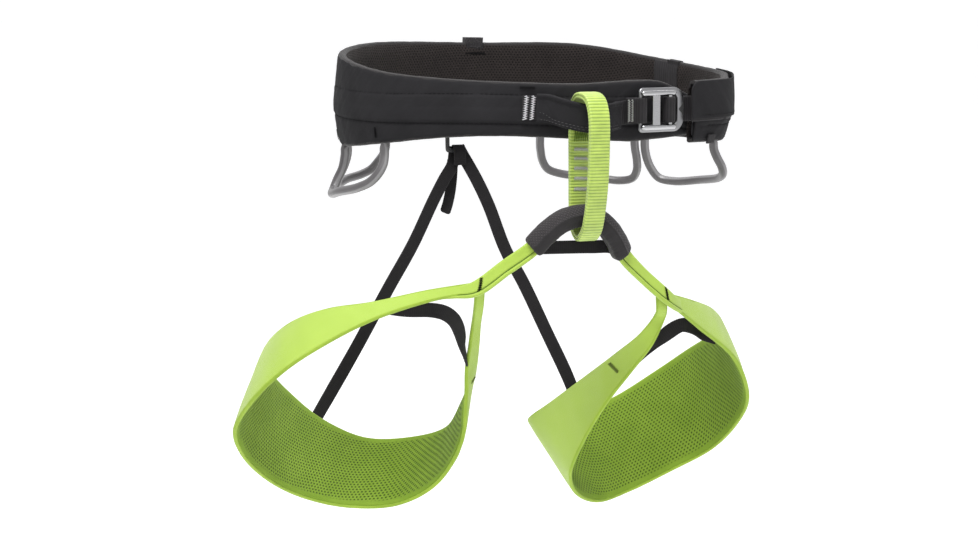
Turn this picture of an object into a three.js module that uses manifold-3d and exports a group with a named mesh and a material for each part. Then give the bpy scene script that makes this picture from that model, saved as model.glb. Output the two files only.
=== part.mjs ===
// Climbing harness. Millimetres, +Z up, the wearer faces -Y and +X is the wearer's left.
// The origin is on the belay loop's plane, level with the tie-in strap, inside the waist ring.
import * as THREE from 'three';
import Module from 'manifold-3d';
import { mergeVertices } from 'three/addons/utils/BufferGeometryUtils.js';

// Waist ring: outer face of the belt, an ellipse in plan.
const RING_X = 16;            // the ring's centre, to the wearer's left of the belay loop
const RING_A = 143;           // half width
const RING_B = 108;           // half depth
const BELT_BULGE = 2;         // how far the upper edge leans in from the belt's middle
const GAP = 0.35;             // clearance between pieces that lie on each other
// Belt layers, counted inwards from the outer face.
const SHELL_T = 1.2;
const WEB_T = 1.5;            // thin structural webbing and elastic
const FOAM_T = 3.2;
const LINER_T = 1.4;
const BINDING_T = 1.4;
const END_LIFT = 11;          // how far the belt's outer end stands over its tongue
// Webbing
const WAIST_WEB = 17;         // width of the waist webbing
const BELAY_WEB = 15;         // width of the belay loop
const BELAY_T = 4.4;
const BRIDGE_WEB = 9.8;       // width of the lime webbing between the legs
const ELASTIC_W = 10;         // width of the elastic straps
const STRAP_Z = -6.3;         // middle of the buckle and of the webbing that it tightens
// Leg loops
const LEG_SHELL_T = 1.3;
const LEG_LINER_T = 1.2;
const BEAD = 1.1;             // half width of an edge binding
const PER_STATION = 3;        // rings of a leg band between two of its stations
// Gear loops
const GEAR_R = 3.2;

const wasm = await Module();
wasm.setup();
const harness = new THREE.Group();

const v = (x, y, z) => new THREE.Vector3(x, y, z);
const rad = THREE.MathUtils.degToRad;
const curve = (points) => new THREE.CatmullRomCurve3(points, false, 'centripetal');

const LOOKS = {
  black_shell: [0x2c2b2e, 0.85, 0],
  black_liner: [0x2e2927, 0.95, 0],
  black_web: [0x242226, 0.8, 0],
  foam: [0x3a3a3c, 0.95, 0],
  lime: [0xb4d264, 0.75, 0],
  lime_mesh: [0x6f9433, 0.9, 0],
  lime_web: [0xb2cf6b, 0.7, 0],
  gear: [0x5e5a5c, 0.45, 0],
  metal: [0xa9a8a6, 0.35, 1],
  hook: [0x2a292b, 0.55, 0],
};

function add(name, look, geometry, parent = harness) {
  const [color, roughness, metalness] = LOOKS[look];
  const mesh = new THREE.Mesh(geometry, new THREE.MeshStandardMaterial({ color, roughness, metalness }));
  mesh.name = name;
  parent.add(mesh);
  return mesh;
}

// A closed solid lofted through rings of points; open lofts get a fan over each end.
function loft(rings, closed = false) {
  const n = rings[0].length;
  const positions = rings.flat().flatMap((p) => [p.x, p.y, p.z]);
  const index = [];
  const last = closed ? rings.length : rings.length - 1;
  for (let i = 0; i < last; i++) {
    const a = i * n;
    const b = ((i + 1) % rings.length) * n;
    for (let j = 0; j < n; j++) {
      const k = (j + 1) % n;
      // Both long sides of a section share a diagonal, so twisted layers nest.
      if (j < n / 2) index.push(a + j, b + j, b + k, a + j, b + k, a + k);
      else index.push(a + j, b + j, a + k, b + j, b + k, a + k);
    }
  }
  if (!closed) {
    const end = (rings.length - 1) * n;
    for (let j = 1; j < n - 1; j++) {
      index.push(0, j, j + 1);
      index.push(end, end + j + 1, end + j);
    }
  }
  const geometry = new THREE.BufferGeometry();
  geometry.setAttribute('position', new THREE.Float32BufferAttribute(positions, 3));
  geometry.setIndex(index);
  return facingOut(geometry);
}

// Turns every face over when the enclosed volume comes out negative.
function facingOut(geometry) {
  const p = geometry.attributes.position;
  const index = geometry.index.array;
  const corner = (i) => new THREE.Vector3().fromBufferAttribute(p, index[i]);
  let volume = 0;
  for (let i = 0; i < index.length; i += 3) {
    volume += corner(i).dot(corner(i + 1).cross(corner(i + 2)));
  }
  if (volume < 0) {
    for (let i = 0; i < index.length; i += 3) {
      [index[i + 1], index[i + 2]] = [index[i + 2], index[i + 1]];
    }
  }
  geometry.computeVertexNormals();
  return geometry;
}

// A hollow sleeve: outer and inner rings of points joined at both ends.
function pipe(outer, inner) {
  return loft([...outer, ...inner.slice().reverse()], true);
}

function manifoldOf(geometry) {
  const bare = geometry.clone();
  bare.deleteAttribute('normal');
  bare.deleteAttribute('uv');
  const merged = mergeVertices(bare, 1e-4);
  return new wasm.Manifold(new wasm.Mesh({
    numProp: 3,
    vertProperties: new Float32Array(merged.attributes.position.array),
    triVerts: new Uint32Array(merged.index.array),
  }));
}

function geometryOf(manifold) {
  const mesh = manifold.getMesh();
  const geometry = new THREE.BufferGeometry();
  geometry.setAttribute('position', new THREE.BufferAttribute(new Float32Array(mesh.vertProperties), 3));
  geometry.setIndex(new THREE.BufferAttribute(new Uint32Array(mesh.triVerts), 1));
  geometry.computeVertexNormals();
  return geometry;
}

const fuse = (first, ...others) => geometryOf(
  others.reduce((sum, g) => sum.add(manifoldOf(g)), manifoldOf(first)),
);

// A band between two edge curves, from lowOut to highOut along its normal, over the stations from
// `first` to `last`. Bands on the same stations nest.
function band(upper, lower, lowOut, highOut, first, last) {
  const a = curve(upper);
  const b = curve(lower);
  const rings = [];
  for (let i = first * PER_STATION; i <= last * PER_STATION; i++) {
    const u = i / PER_STATION / (upper.length - 1);
    const top = a.getPoint(u);
    const bottom = b.getPoint(u);
    const tangent = a.getTangent(u).add(b.getTangent(u)).normalize();
    const normal = tangent.cross(bottom.clone().sub(top).normalize()).normalize();
    const at = (edge, out) => edge.clone().addScaledVector(normal, out);
    rings.push([at(top, lowOut), at(top, highOut), at(bottom, highOut), at(bottom, lowOut)]);
  }
  return loft(rings);
}

// A flat strap along a centre line; `across` gives the width direction at each point.
function strap(points, across, width, thickness, steps) {
  const centre = curve(points);
  const side = curve(across.map((d) => d.clone().normalize()));
  const rings = [];
  for (let i = 0; i <= steps; i++) {
    const u = i / steps;
    const p = centre.getPoint(u);
    const tangent = centre.getTangent(u);
    const w = side.getPoint(u).addScaledVector(tangent, -side.getPoint(u).dot(tangent)).normalize();
    const n = new THREE.Vector3().crossVectors(tangent, w).normalize();
    const at = (a, b) => p.clone().addScaledVector(w, a * width / 2).addScaledVector(n, b * thickness / 2);
    rings.push([at(-1, -1), at(1, -1), at(1, 1), at(-1, 1)]);
  }
  return loft(rings);
}

// A round bar along a curve, with ball ends around its first and last points.
const BALL_RINGS = [80, 55, 28];
function bar(points, radius, steps, sides = 14) {
  const centre = curve(points);
  const { tangents, normals, binormals } = centre.computeFrenetFrames(steps);
  const ring = (i, beyond) => {
    const p = centre.getPointAt(i / steps).addScaledVector(tangents[i], radius * Math.sin(rad(beyond)));
    const r = radius * Math.cos(rad(beyond));
    return Array.from({ length: sides }, (_, k) => {
      const a = 2 * Math.PI * k / sides;
      return p.clone()
        .addScaledVector(normals[i], r * Math.cos(a))
        .addScaledVector(binormals[i], r * Math.sin(a));
    });
  };
  const rings = BALL_RINGS.map((a) => ring(0, -a));
  for (let i = 0; i <= steps; i++) rings.push(ring(i, 0));
  return loft([...rings, ...BALL_RINGS.toReversed().map((a) => ring(steps, a))]);
}

function shapeOf(points, holes = []) {
  const shape = new THREE.Shape(points.map(([x, y]) => new THREE.Vector2(x, y)));
  shape.holes = holes.map((hole) => new THREE.Path(hole.map(([x, y]) => new THREE.Vector2(x, y))));
  return shape;
}

// --- Waist belt -----------------------------------------------------------------------------
// Angles run around the ring from the front, positive towards the wearer's left. The belt starts
// at its tongue (+38), passes the front, the wearer's right (-90) and the back (-180), and ends
// outside the tongue at -331, which is +29.
const TONGUE = 38;
const OUTER_END = -331;
const BELT_STEPS = 66;
const BENDS = [0.36, 0.7];    // shares of the belt's height, from the top, where its section bends
// angle, upper edge, lower edge
const EDGES = [
  [38, -2, -24], [30, 4, -25], [20, 12, -26], [10, 13, -27], [-5, 11.5, -24.5], [-27, 13, -22],
  [-45, 15, -23.5], [-65, 18.5, -28], [-87, 25, -32], [-110, 31, -33], [-140, 35.5, -33],
  [-180, 34, -32], [-210, 33, -32.5], [-240, 23, -33.5], [-265, 17, -34], [-300, 13.5, -31],
  [-331, 12, -29],
];

function edgeHeights(angle) {
  let i = 0;
  while (i < EDGES.length - 2 && EDGES[i + 1][0] > angle) i++;
  const slope = (j, k) => {
    const a = EDGES[Math.max(j - 1, 0)];
    const b = EDGES[Math.min(j + 1, EDGES.length - 1)];
    return (b[k] - a[k]) / (b[0] - a[0]);
  };
  const [from, to] = [EDGES[i], EDGES[i + 1]];
  const span = to[0] - from[0];
  const s = (angle - from[0]) / span;
  return [1, 2].map((k) => (
    (2 * s ** 3 - 3 * s ** 2 + 1) * from[k] + (s ** 3 - 2 * s ** 2 + s) * span * slope(i, k)
    + (3 * s ** 2 - 2 * s ** 3) * to[k] + (s ** 3 - s ** 2) * span * slope(i + 1, k)
  ));
}

const endLift = (angle) => END_LIFT * THREE.MathUtils.smoothstep(-angle, 294, 321);

// How far the belt's outer face stands inside the ring at height z: both edges lean in, the
// lower one more, and most at the wearer's left. The section is straight between its bends.
function lean(angle, z) {
  const side = Math.cos(rad(angle) - rad(70)) ** 2;
  const lower = 3 + 2.2 * side * THREE.MathUtils.smoothstep(Math.sin(rad(angle)), 0, 0.6);
  const smooth = (h) => (h < -8 ? lower * ((-8 - h) / 25) ** 2 : BELT_BULGE * ((h + 8) / 40) ** 2);
  const [high, low] = edgeHeights(angle);
  const heights = [high, ...BENDS.map((s) => high + (low - high) * s), low];
  let i = 0;
  while (i < heights.length - 2 && heights[i + 1] > z) i++;
  const share = THREE.MathUtils.clamp((heights[i] - z) / (heights[i] - heights[i + 1]), 0, 1);
  return THREE.MathUtils.lerp(smooth(heights[i]), smooth(heights[i + 1]), share);
}

// A point on the belt, `out` outside its outer face.
function onBelt(angle, out, z) {
  const t = rad(angle);
  const normal = new THREE.Vector2(Math.sin(t) / RING_A, -Math.cos(t) / RING_B).normalize();
  const away = out + endLift(angle) - lean(angle, z);
  return v(RING_X + RING_A * Math.sin(t) + away * normal.x, -RING_B * Math.cos(t) + away * normal.y, z);
}

// One layer of the belt between two angles, from `low` to `high` outside the outer face. Its
// section bends with the belt's where it covers the belt's height.
function layer(angles, low, high, topOf, bottomOf, whole = true) {
  return loft(angles.map((angle) => {
    const [top, bottom] = edgeHeights(angle);
    const [zt, zb] = [topOf(top, bottom), bottomOf(top, bottom)];
    const bends = BENDS.map((s) => (whole ? top + (bottom - top) * s : zt + (zb - zt) * s));
    const side = (out) => [zt, ...bends, zb].map((z) => onBelt(angle, out, z));
    return [...side(high), ...side(low).reverse()];
  }));
}

// A thin strip along one edge of the belt.
const strip = (angles, topOf, bottomOf) => loft(angles.map((angle) => {
  const [zt, zb] = [topOf, bottomOf].map((f) => f(...edgeHeights(angle)));
  return [[0, zt], [0, zb], [BELT_IN, zb], [BELT_IN, zt]].map(([out, z]) => onBelt(angle, out, z));
}));

const anglesFrom = (from, to, steps) => (
  Array.from({ length: steps + 1 }, (_, i) => from + (to - from) * i / steps)
);
const STATIONS = anglesFrom(TONGUE, OUTER_END, BELT_STEPS);
const WEB_OUT = -SHELL_T - GAP;
const FOAM_OUT = WEB_OUT - WEB_T - GAP;
const LINER_OUT = FOAM_OUT - FOAM_T - GAP;
const BELT_IN = LINER_OUT - LINER_T;
const EDGE = BINDING_T + GAP;      // the bindings lie inside the belt's height
const shellTop = (a) => a - EDGE;
const shellBottom = (a, b) => b + EDGE;
add('belt_outer_shell', 'black_shell', layer(STATIONS, -SHELL_T, 0, shellTop, shellBottom));
const FOAM_EDGE = EDGE + 1;
add('belt_foam', 'foam', layer(STATIONS.slice(1, -1), FOAM_OUT - FOAM_T, FOAM_OUT,
  (a) => a - FOAM_EDGE, (a, b) => b + FOAM_EDGE));
add('belt_mesh_liner', 'black_liner', layer(STATIONS, BELT_IN, LINER_OUT, shellTop, shellBottom));
const webTop = (a, b) => (a + b) / 2 + WAIST_WEB / 2;
const webBottom = (a, b) => (a + b) / 2 - WAIST_WEB / 2;
const WEB_END = OUTER_END - 2.4;   // the waist webbing and its tail end just past the belt
add('belt_structural_webbing', 'black_web', layer([...STATIONS.slice(2), WEB_END], WEB_OUT - WEB_T, WEB_OUT,
  webTop, webBottom, false));
add('belt_upper_binding', 'black_web', strip(STATIONS, (a) => a, (a) => a - BINDING_T));
add('belt_lower_binding', 'black_web', strip(STATIONS, (a, b) => b + BINDING_T, (a, b) => b));

// Stretch sleeve over the belt's outer end; the adjusting webbing's tail lies under it.
const TAIL_T = 1.2;
const SLEEVE_T = 1.1;
const SLEEVE_OUT = GAP + TAIL_T + GAP;
const SLEEVE_BOTTOM = -13;
const SLEEVE_STATIONS = anglesFrom(-268, OUTER_END - 3, 20);
add('belt_end_sleeve', 'black_shell', layer(SLEEVE_STATIONS, SLEEVE_OUT, SLEEVE_OUT + SLEEVE_T,
  (a) => a - 1, () => SLEEVE_BOTTOM, false));
// Folded loop over the upper edge at the centre back, and the liner's end tab on the wearer's left.
const LOOP_T = 1.25;
const TAB_T = 1.35;
add('belt_back_loop', 'black_web', layer(anglesFrom(-172, -184, 4), GAP, GAP + LOOP_T,
  (a) => a + 0.6, (a) => a - 20, false));
add('liner_end_tab', 'black_web', layer(anglesFrom(-250, -258, 4), BELT_IN - GAP - TAB_T, BELT_IN - GAP,
  (a) => a - 0.5, (a, b) => b + 4));

// --- Tie-in strap ---------------------------------------------------------------------------
const TIE_T = 2.4;
const WEAR_T = 2;
const WEAR_W = WAIST_WEB + 1.6;
const up = v(0, 0, 1);
add('tie_in_strap', 'black_web', strap(
  [onBelt(-21.5, 1.8, -3.5), onBelt(-18, 1.9, -3.5), v(-20, -109.4, -4), v(-11, -118.6, -7.4),
    v(1, -124.2, -10.2), v(13, -123.6, -10), v(23, -116.6, -9), v(30.5, -110.2, -8), onBelt(9.5, 1.6, -7)],
  Array(9).fill(up), WAIST_WEB, TIE_T, 26,
));
// Wear sleeve sewn around the part of the strap that the belay loop runs on.
add('tie_in_wear_sleeve', 'black_shell', strap(
  [v(-15.4, -118.6, -6.4), v(-8, -124, -8.8), v(1.5, -127.4, -10.4), v(12.6, -126.9, -10.2),
    v(20.4, -123.4, -9.6)],
  Array(5).fill(up), WEAR_W, WEAR_T, 12,
));

// --- Buckle ---------------------------------------------------------------------------------
// Local frame: u along the belt towards the wearer's left, w up, n away from the belt.
const BUCKLE_ANGLE = 10.1;    // where the frame's ends stand on the ring
const BUCKLE_END = 28.6;
const BUCKLE_L = 39;
const BUCKLE_H = 29.6;
const BUCKLE_OUT = 6.2;
const PLATE_T = 2.2;
const buckleAt = new THREE.Group();
const start = onBelt(BUCKLE_ANGLE, BUCKLE_OUT, STRAP_Z);
const finish = onBelt(BUCKLE_END, BUCKLE_OUT, STRAP_Z);
buckleAt.position.copy(start);
buckleAt.rotation.order = 'ZXY';
buckleAt.rotation.z = Math.atan2(finish.y - start.y, finish.x - start.x);
buckleAt.rotation.x = Math.PI / 2;
harness.add(buckleAt);

// Outline of the frame: tight corners at the left, wide ones at the right.
const SMALL_R = 3;
const WIDE_R = 8.5;
function frameOutline() {
  const h = BUCKLE_H / 2;
  const points = [];
  const corner = (x, y, r, from) => {
    for (let i = 0; i <= 4; i++) {
      const a = rad(from + 90 * i / 4);
      points.push([x + r * Math.cos(a), y + r * Math.sin(a)]);
    }
  };
  corner(SMALL_R, -h + SMALL_R, SMALL_R, 180);
  corner(BUCKLE_L - WIDE_R, -h + WIDE_R, WIDE_R, 270);
  corner(BUCKLE_L - WIDE_R, h - WIDE_R, WIDE_R, 0);
  corner(SMALL_R, h - SMALL_R, SMALL_R, 90);
  return points;
}
const WINDOW = [[3.8, -9.6], [33.5, -9.6], [33.5, 9.6], [3.8, 9.6]];
const plate = (shape, depth) => new THREE.ExtrudeGeometry(shape, { depth, bevelEnabled: false });
add('buckle_frame', 'metal', plate(shapeOf(frameOutline(), [WINDOW]), PLATE_T), buckleAt);

// Sliding plate: a cross bar and a wrap bar between two rolled edges.
const ROD_R = 1.75;
const ROD_L = 29;
const ROD_U = 14.7;           // middle of the rolled edges along the buckle
const ROD_W = 11.3;           // and how far they stand from its middle line
const CROSS_U = 12.6;
const WRAP_U = 24.8;
const BAR_T = 1.8;
const rodN = PLATE_T + GAP + ROD_R;
const rolledEdge = (w) => new THREE.CylinderGeometry(ROD_R, ROD_R, ROD_L, 12)
  .rotateZ(Math.PI / 2).translate(ROD_U, w, rodN);
const crossBar = new THREE.BoxGeometry(6.6, 2 * ROD_W, BAR_T).translate(CROSS_U, 0, rodN);
const wrapBar = new THREE.BoxGeometry(3, 2 * ROD_W, BAR_T).translate(WRAP_U, 0, rodN);
add('buckle_plate', 'metal', fuse(rolledEdge(ROD_W), rolledEdge(-ROD_W), crossBar, wrapBar), buckleAt);

// A webbing loop around a bar, in the buckle's u-n plane, extruded across the webbing's width.
function wrap(path, thickness, width) {
  const spine = curve(path.map(([x, y]) => v(x, y, 0)));
  const rings = [];
  const steps = 22;
  for (let i = 0; i <= steps; i++) {
    const p = spine.getPoint(i / steps);
    const t = spine.getTangent(i / steps);
    const at = (side, w) => v(
      p.x - side * t.y * thickness / 2, w * width / 2, p.y + side * t.x * thickness / 2,
    );
    rings.push([at(1, -1), at(-1, -1), at(-1, 1), at(1, 1)]);
  }
  return loft(rings);
}
// The tab from the tie-in strap around the frame's left bar.
add('buckle_tab_webbing', 'black_web', wrap([
  [-8, -2.5], [-2, -2.3], [1.6, -2.3], [4.6, -1.4], [5.5, 1], [4.6, 3.4], [1.9, 4.5],
  [-0.8, 3.7], [-1.9, 1.6],
  [-3.4, -0.2], [-8, -0.8],
], 1, WAIST_WEB), buckleAt);
// The adjusting webbing's bight around the plate's wrap bar. Both ends run out under the frame.
add('adjuster_bight', 'black_web', wrap([
  [40.4, -1], [33, -1], [29, 0.6], [28, 4], [27.2, 6], [24.8, 6.8], [22.4, 6], [21.6, 4],
  [21.9, 0.6], [24.4, -1.8], [29, -2.7], [40.4, -2.7],
], 1.1, WAIST_WEB), buckleAt);
// The tail of the adjusting webbing on the belt's end, under the sleeve.
const TAIL_TOP = STRAP_Z + WAIST_WEB / 2;
add('adjuster_tail', 'black_web', layer([...STATIONS.slice(-8), WEB_END], GAP, GAP + TAIL_T,
  () => TAIL_TOP, () => TAIL_TOP - WAIST_WEB, false));

// --- Belay loop -----------------------------------------------------------------------------
const belayPath = [
  [-127, 5], [-136.5, 2.1], [-142, -7], [-143.2, -25], [-141.4, -50], [-137, -70],
  [-131.4, -83], [-123, -88.5],
  [-114.4, -83], [-111.8, -70], [-111.2, -45], [-111.2, -14], [-113, -1.8], [-118.6, 3.7],
].map(([y, z]) => v(0, y, z));
const belayCurve = new THREE.CatmullRomCurve3(belayPath, true, 'centripetal');
const belayRings = [];
const BELAY_STEPS = 48;
for (let i = 0; i < BELAY_STEPS; i++) {
  const p = belayCurve.getPoint(i / BELAY_STEPS);
  const t = belayCurve.getTangent(i / BELAY_STEPS);
  const n = v(0, -t.z, t.y);
  const at = (x, s) => p.clone().addScaledVector(n, s * BELAY_T / 2).setX(x * BELAY_WEB / 2);
  belayRings.push([at(-1, -1), at(1, -1), at(1, 1), at(-1, 1)]);
}
add('belay_loop', 'lime_web', loft(belayRings, true));

// --- Bridge between the leg loops -----------------------------------------------------------
// The webbing's centre line, from the right leg loop over the arch inside the belay loop to the left.
const BRIDGE = [
  v(-69.5, -113.2, -118.8), v(-54, -116, -106.5), v(-37, -119.5, -94.5), v(-29, -121.6, -86),
  v(-18, -123.2, -77.6), v(-7, -123.4, -74.3), v(4, -123.4, -74.8), v(15, -123, -81.6),
  v(23.4, -121.4, -91.6), v(29.5, -119, -101.5), v(45, -117, -116.5), v(60.5, -114, -130),
];
const ARCH_FROM = 2;          // the sleeve covers the stations from here
const ARCH_TO = 9;
// Section of the sleeve in (back, up): a sloping top face, a ridge and a tall front face.
const SLEEVE_SECTION = [
  [4.6, -5.8], [5.4, 4], [3, 7.6], [-1.5, 6.8], [-5, 2.6], [-5.4, -1.5], [-4, -5.8], [0, -6.4],
];
function archSections(section) {
  const centre = curve(BRIDGE);
  const rings = [];
  for (let i = ARCH_FROM * PER_STATION; i <= ARCH_TO * PER_STATION; i++) {
    const u = i / PER_STATION / (BRIDGE.length - 1);
    const p = centre.getPoint(u);
    const tangent = centre.getTangent(u);
    const back = v(0, 1, 0).addScaledVector(tangent, -tangent.y).normalize();
    const rise = new THREE.Vector3().crossVectors(tangent, back).normalize();
    rings.push(section.map(([a, b]) => p.clone().addScaledVector(back, a).addScaledVector(rise, b)));
  }
  return rings;
}
const hollow = SLEEVE_SECTION.map(([a, b]) => [a * 0.82, b * 0.9]);
add('bridge_sleeve', 'black_shell', pipe(archSections(SLEEVE_SECTION), archSections(hollow)));
add('bridge_webbing', 'lime_web', strap(
  BRIDGE,
  [v(-0.3, 0.35, 0.9), v(-0.3, 0.3, 0.95), ...Array(8).fill(v(0, 0, 1)), v(0.3, 0.3, 0.9),
   v(0.4, 0.35, 0.85)],
  BRIDGE_WEB, 2.2, (BRIDGE.length - 1) * PER_STATION,
));
add('bridge_cross_strap', 'black_web', strap(
  [v(-31, -110.8, -95), v(-12, -110.8, -95.4), v(10, -110.8, -96), v(25, -110.8, -97)],
  Array(4).fill(up), ELASTIC_W - 1.6, 1.8, 8,
));

// --- Leg loops ------------------------------------------------------------------------------
// Each station gives the upper (proximal) and lower (distal) edge of the band, from the outer
// branch at the front, around the outer thigh and the back, to the inner branch.
const RIGHT_LEG = [
  [v(-73, -112, -116), v(-74, -114, -121.5)], [v(-103, -105, -120.5), v(-105, -111, -126)],
  [v(-140, -96, -127.5), v(-142, -109, -137)], [v(-164, -85, -131.5), v(-175, -106, -152)],
  [v(-181, -72, -139), v(-199, -101, -167)], [v(-191, -54, -151), v(-216, -89, -186)],
  [v(-192, -28, -168), v(-223, -64, -211)], [v(-182, -5, -183), v(-213, -44, -232)],
  [v(-160, 22, -204), v(-187, -19, -257)], [v(-129, 42, -229), v(-156, -2, -275)],
  [v(-92, 52, -247), v(-120, 6, -286)], [v(-60, 44, -247), v(-87, 2, -286)],
  [v(-43, 21, -237), v(-65, -13, -271)], [v(-43, -14, -210), v(-54, -36, -238)],
  [v(-45, -36, -192), v(-57, -52, -203)], [v(-49, -52, -178), v(-62, -66, -180)],
  [v(-54, -68, -164), v(-64.5, -78, -163)], [v(-59, -84, -148), v(-67, -89, -147)],
  [v(-64, -102, -130.5), v(-71.5, -104, -129.5)],
];
const LEFT_LEG = [
  [v(64, -113, -129), v(66, -113, -136.5)], [v(93, -93, -138), v(94, -102, -156)],
  [v(125, -62, -150), v(132, -85, -183)], [v(146, -34, -164), v(154, -64, -215)],
  [v(154, -6, -177), v(158, -43, -236)], [v(151, 24, -192), v(150, -18, -260)],
  [v(135, 46, -211), v(127, 1, -278)], [v(105, 57, -231), v(95, 6, -292)],
  [v(71, 52, -239), v(67, -2, -296)], [v(36, 36, -241), v(42, -18, -285)],
  [v(19, 17, -234), v(28, -38, -265)], [v(26, -6, -219), v(30, -56, -238)],
  [v(39, -36, -197), v(40, -72, -209)], [v(51, -64, -176), v(52, -84, -187)],
  [v(58, -84, -161), v(63, -95, -167)], [v(62, -99, -146), v(69, -102, -148)],
  [v(61, -108, -136), v(69, -107.5, -139)],
];

// The point `inset` inside an edge of the band, towards its other edge.
const drawnIn = (edge, other, inset) => edge.map((p, i) => (
  p.clone().addScaledVector(other[i].clone().sub(p).normalize(), inset)
));

function edgeBead(points, towards) {
  const edge = curve(drawnIn(points, towards, BEAD));
  const other = curve(towards);
  const rings = [];
  const steps = (points.length - 1) * PER_STATION;
  for (let i = 0; i <= steps; i++) {
    const p = edge.getPoint(i / steps);
    const away = p.clone().sub(other.getPoint(i / steps)).normalize();
    const normal = edge.getTangent(i / steps).cross(away).normalize();
    const at = (a, b) => p.clone().addScaledVector(away, a * BEAD).addScaledVector(normal, b * BEAD);
    rings.push([at(-1, -1), at(1, -1), at(1, 1), at(-1, 1)]);
  }
  return loft(rings);
}

// `turn` is 1 where the outer face is on the right of the band as its stations run, -1 on the left.
function legLoop(side, stations, turn, lined) {
  const edges = [stations.map(([a]) => a), stations.map(([, b]) => b)];
  const [upper, lower] = edges;
  const inset = 2 * BEAD + GAP;
  const inner = [drawnIn(upper, lower, inset), drawnIn(lower, upper, inset)];
  add(`leg_${side}_shell`, 'lime', band(...inner, 0, turn * LEG_SHELL_T, 0, stations.length - 1));
  add(`leg_${side}_liner`, 'lime_mesh', band(...inner, -turn * GAP, -turn * (GAP + LEG_LINER_T), ...lined));
  add(`leg_${side}_upper_binding`, 'lime', edgeBead(upper, lower));
  add(`leg_${side}_lower_binding`, 'lime', edgeBead(lower, upper));
}
legLoop('right', RIGHT_LEG, 1, [3, 13]);
legLoop('left', LEFT_LEG, -1, [2, 13]);

// Elastic across the front of each leg opening.
add('leg_right_elastic', 'black_web', strap(
  [v(-127, -99, -136), v(-114, -100.5, -134.5), v(-100, -101, -133), v(-91, -99, -134), v(-82.5, -94, -139),
    v(-76, -87, -147), v(-72, -80.5, -154), v(-70.5, -75, -160)],
  [v(0.2, -0.5, 1), v(0.2, -0.4, 1), v(0, -0.2, 1), v(0.3, -0.1, 1), v(0.6, 0, 0.8), v(1, 0.1, 0.5),
    v(1, 0.1, 0.25), v(1, 0.2, 0.1)],
  ELASTIC_W, WEB_T, 26,
));
add('leg_left_elastic', 'black_web', strap(
  [v(63, -70, -182), v(71, -77, -172), v(81, -82, -161), v(90, -84, -156), v(100, -81, -158),
    v(109, -76, -163), v(117, -71, -169)],
  [v(0.7, 0.2, 0.7), v(0.6, 0.2, 0.7), v(0.3, 0.1, 0.9), v(0, 0, 1), v(-0.3, 0, 1), v(-0.5, 0, 0.9),
    v(-0.5, -0.1, 0.9)],
  ELASTIC_W, WEB_T, 26,
));

// --- Rear risers ----------------------------------------------------------------------------
const HOOK_W = 16;
const HOOK_H = 26;
const HOOK_BAR = 3.2;
const HOOK_T = 2.6;
const HOOK_Y = 114.5;         // rear face of the hook
const HOOK_Z = -34.5;
// Flat hook: a rectangular ring, open on one side above its lower bar.
const [outX, outZ] = [HOOK_W / 2, HOOK_H / 2];
const [inX, inZ] = [outX - HOOK_BAR, outZ - HOOK_BAR];
const lip = inZ - 7;          // end of the short arm above the hook's mouth
const hookShape = shapeOf([
  [-outX, -outZ], [outX, -outZ], [outX, -inZ], [-inX, -inZ], [-inX, inZ], [inX, inZ],
  [inX, lip], [outX, lip], [outX, outZ], [-outX, outZ],
]);
add('riser_hook', 'hook', plate(hookShape, HOOK_T).rotateX(Math.PI / 2).translate(0, HOOK_Y, HOOK_Z));
// Webbing hanger on the belt's back that the hook is sewn into.
const hookTop = HOOK_Z + HOOK_H / 2;
const hangerY = HOOK_Y - HOOK_T / 2;
const hangerIn = hangerY - 3.2;
const hangerOut = hangerY + 3.2;
add('hook_hanger', 'black_web', strap(
  [v(0, 109.6, -6), v(0, 109.6, -14), v(0, 109.3, -20), v(0, hangerIn, hookTop - 3),
   v(0, hangerY - 1.8, hookTop - 6.2),
    v(0, hangerY, hookTop - 6.8), v(0, hangerY + 1.8, hookTop - 6.2), v(0, hangerOut, hookTop - 2),
    v(0, hangerOut - 0.6, hookTop + 4), v(0, 111.6, -12), v(0, 111.2, -6)],
  Array(11).fill(v(1, 0, 0)), 8, 1.2, 34,
));
// Yoke: a loop of elastic over the hook's lower bar that gathers both risers.
const barZ = HOOK_Z - HOOK_H / 2 + HOOK_BAR / 2;
add('riser_yoke', 'black_web', strap(
  [v(2, hangerIn, barZ - 11), v(2, hangerIn, barZ - 1), v(2, hangerY - 1.6, barZ + 3),
   v(2, hangerY, barZ + 3.6),
    v(2, hangerY + 1.6, barZ + 3), v(2, hangerOut, barZ - 1), v(2, hangerOut, barZ - 11)],
  Array(7).fill(v(1, 0, 0)), ELASTIC_W - 0.4, WEB_T - 0.3, 26,
));
const RISER_RIGHT = [
  v(-3, 112.6, -57), v(-12, 110, -68), v(-23, 106, -82), v(-44, 96, -113),
  v(-67, 84, -143), v(-100, 67, -184),
  v(-129, 52.5, -221),
];
const RISER_LEFT = [
  v(9, 112.6, -57), v(14, 110, -69), v(20, 106, -87), v(30, 97, -120), v(42, 88, -146), v(55, 74, -181),
  v(70, 60, -218),
];
add('riser_right', 'black_web', strap(RISER_RIGHT, Array(7).fill(v(0.8, 0.1, -0.6)), ELASTIC_W, WEB_T, 24));
add('riser_left', 'black_web', strap(RISER_LEFT, Array(7).fill(v(0.9, 0.1, 0.4)), ELASTIC_W, WEB_T, 24));
add('riser_tail', 'black_web', strap(
  [v(0, 120, -52), v(0, 120.4, -62), v(-2, 119, -76), v(-5, 117, -86), v(-8, 115.5, -93)],
  [v(1, 0, 0), v(1, 0, 0.05), v(1, 0, -0.15), v(1, 0, -0.25), v(1, 0, -0.25)],
  8.5, WEB_T, 16,
));

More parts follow.
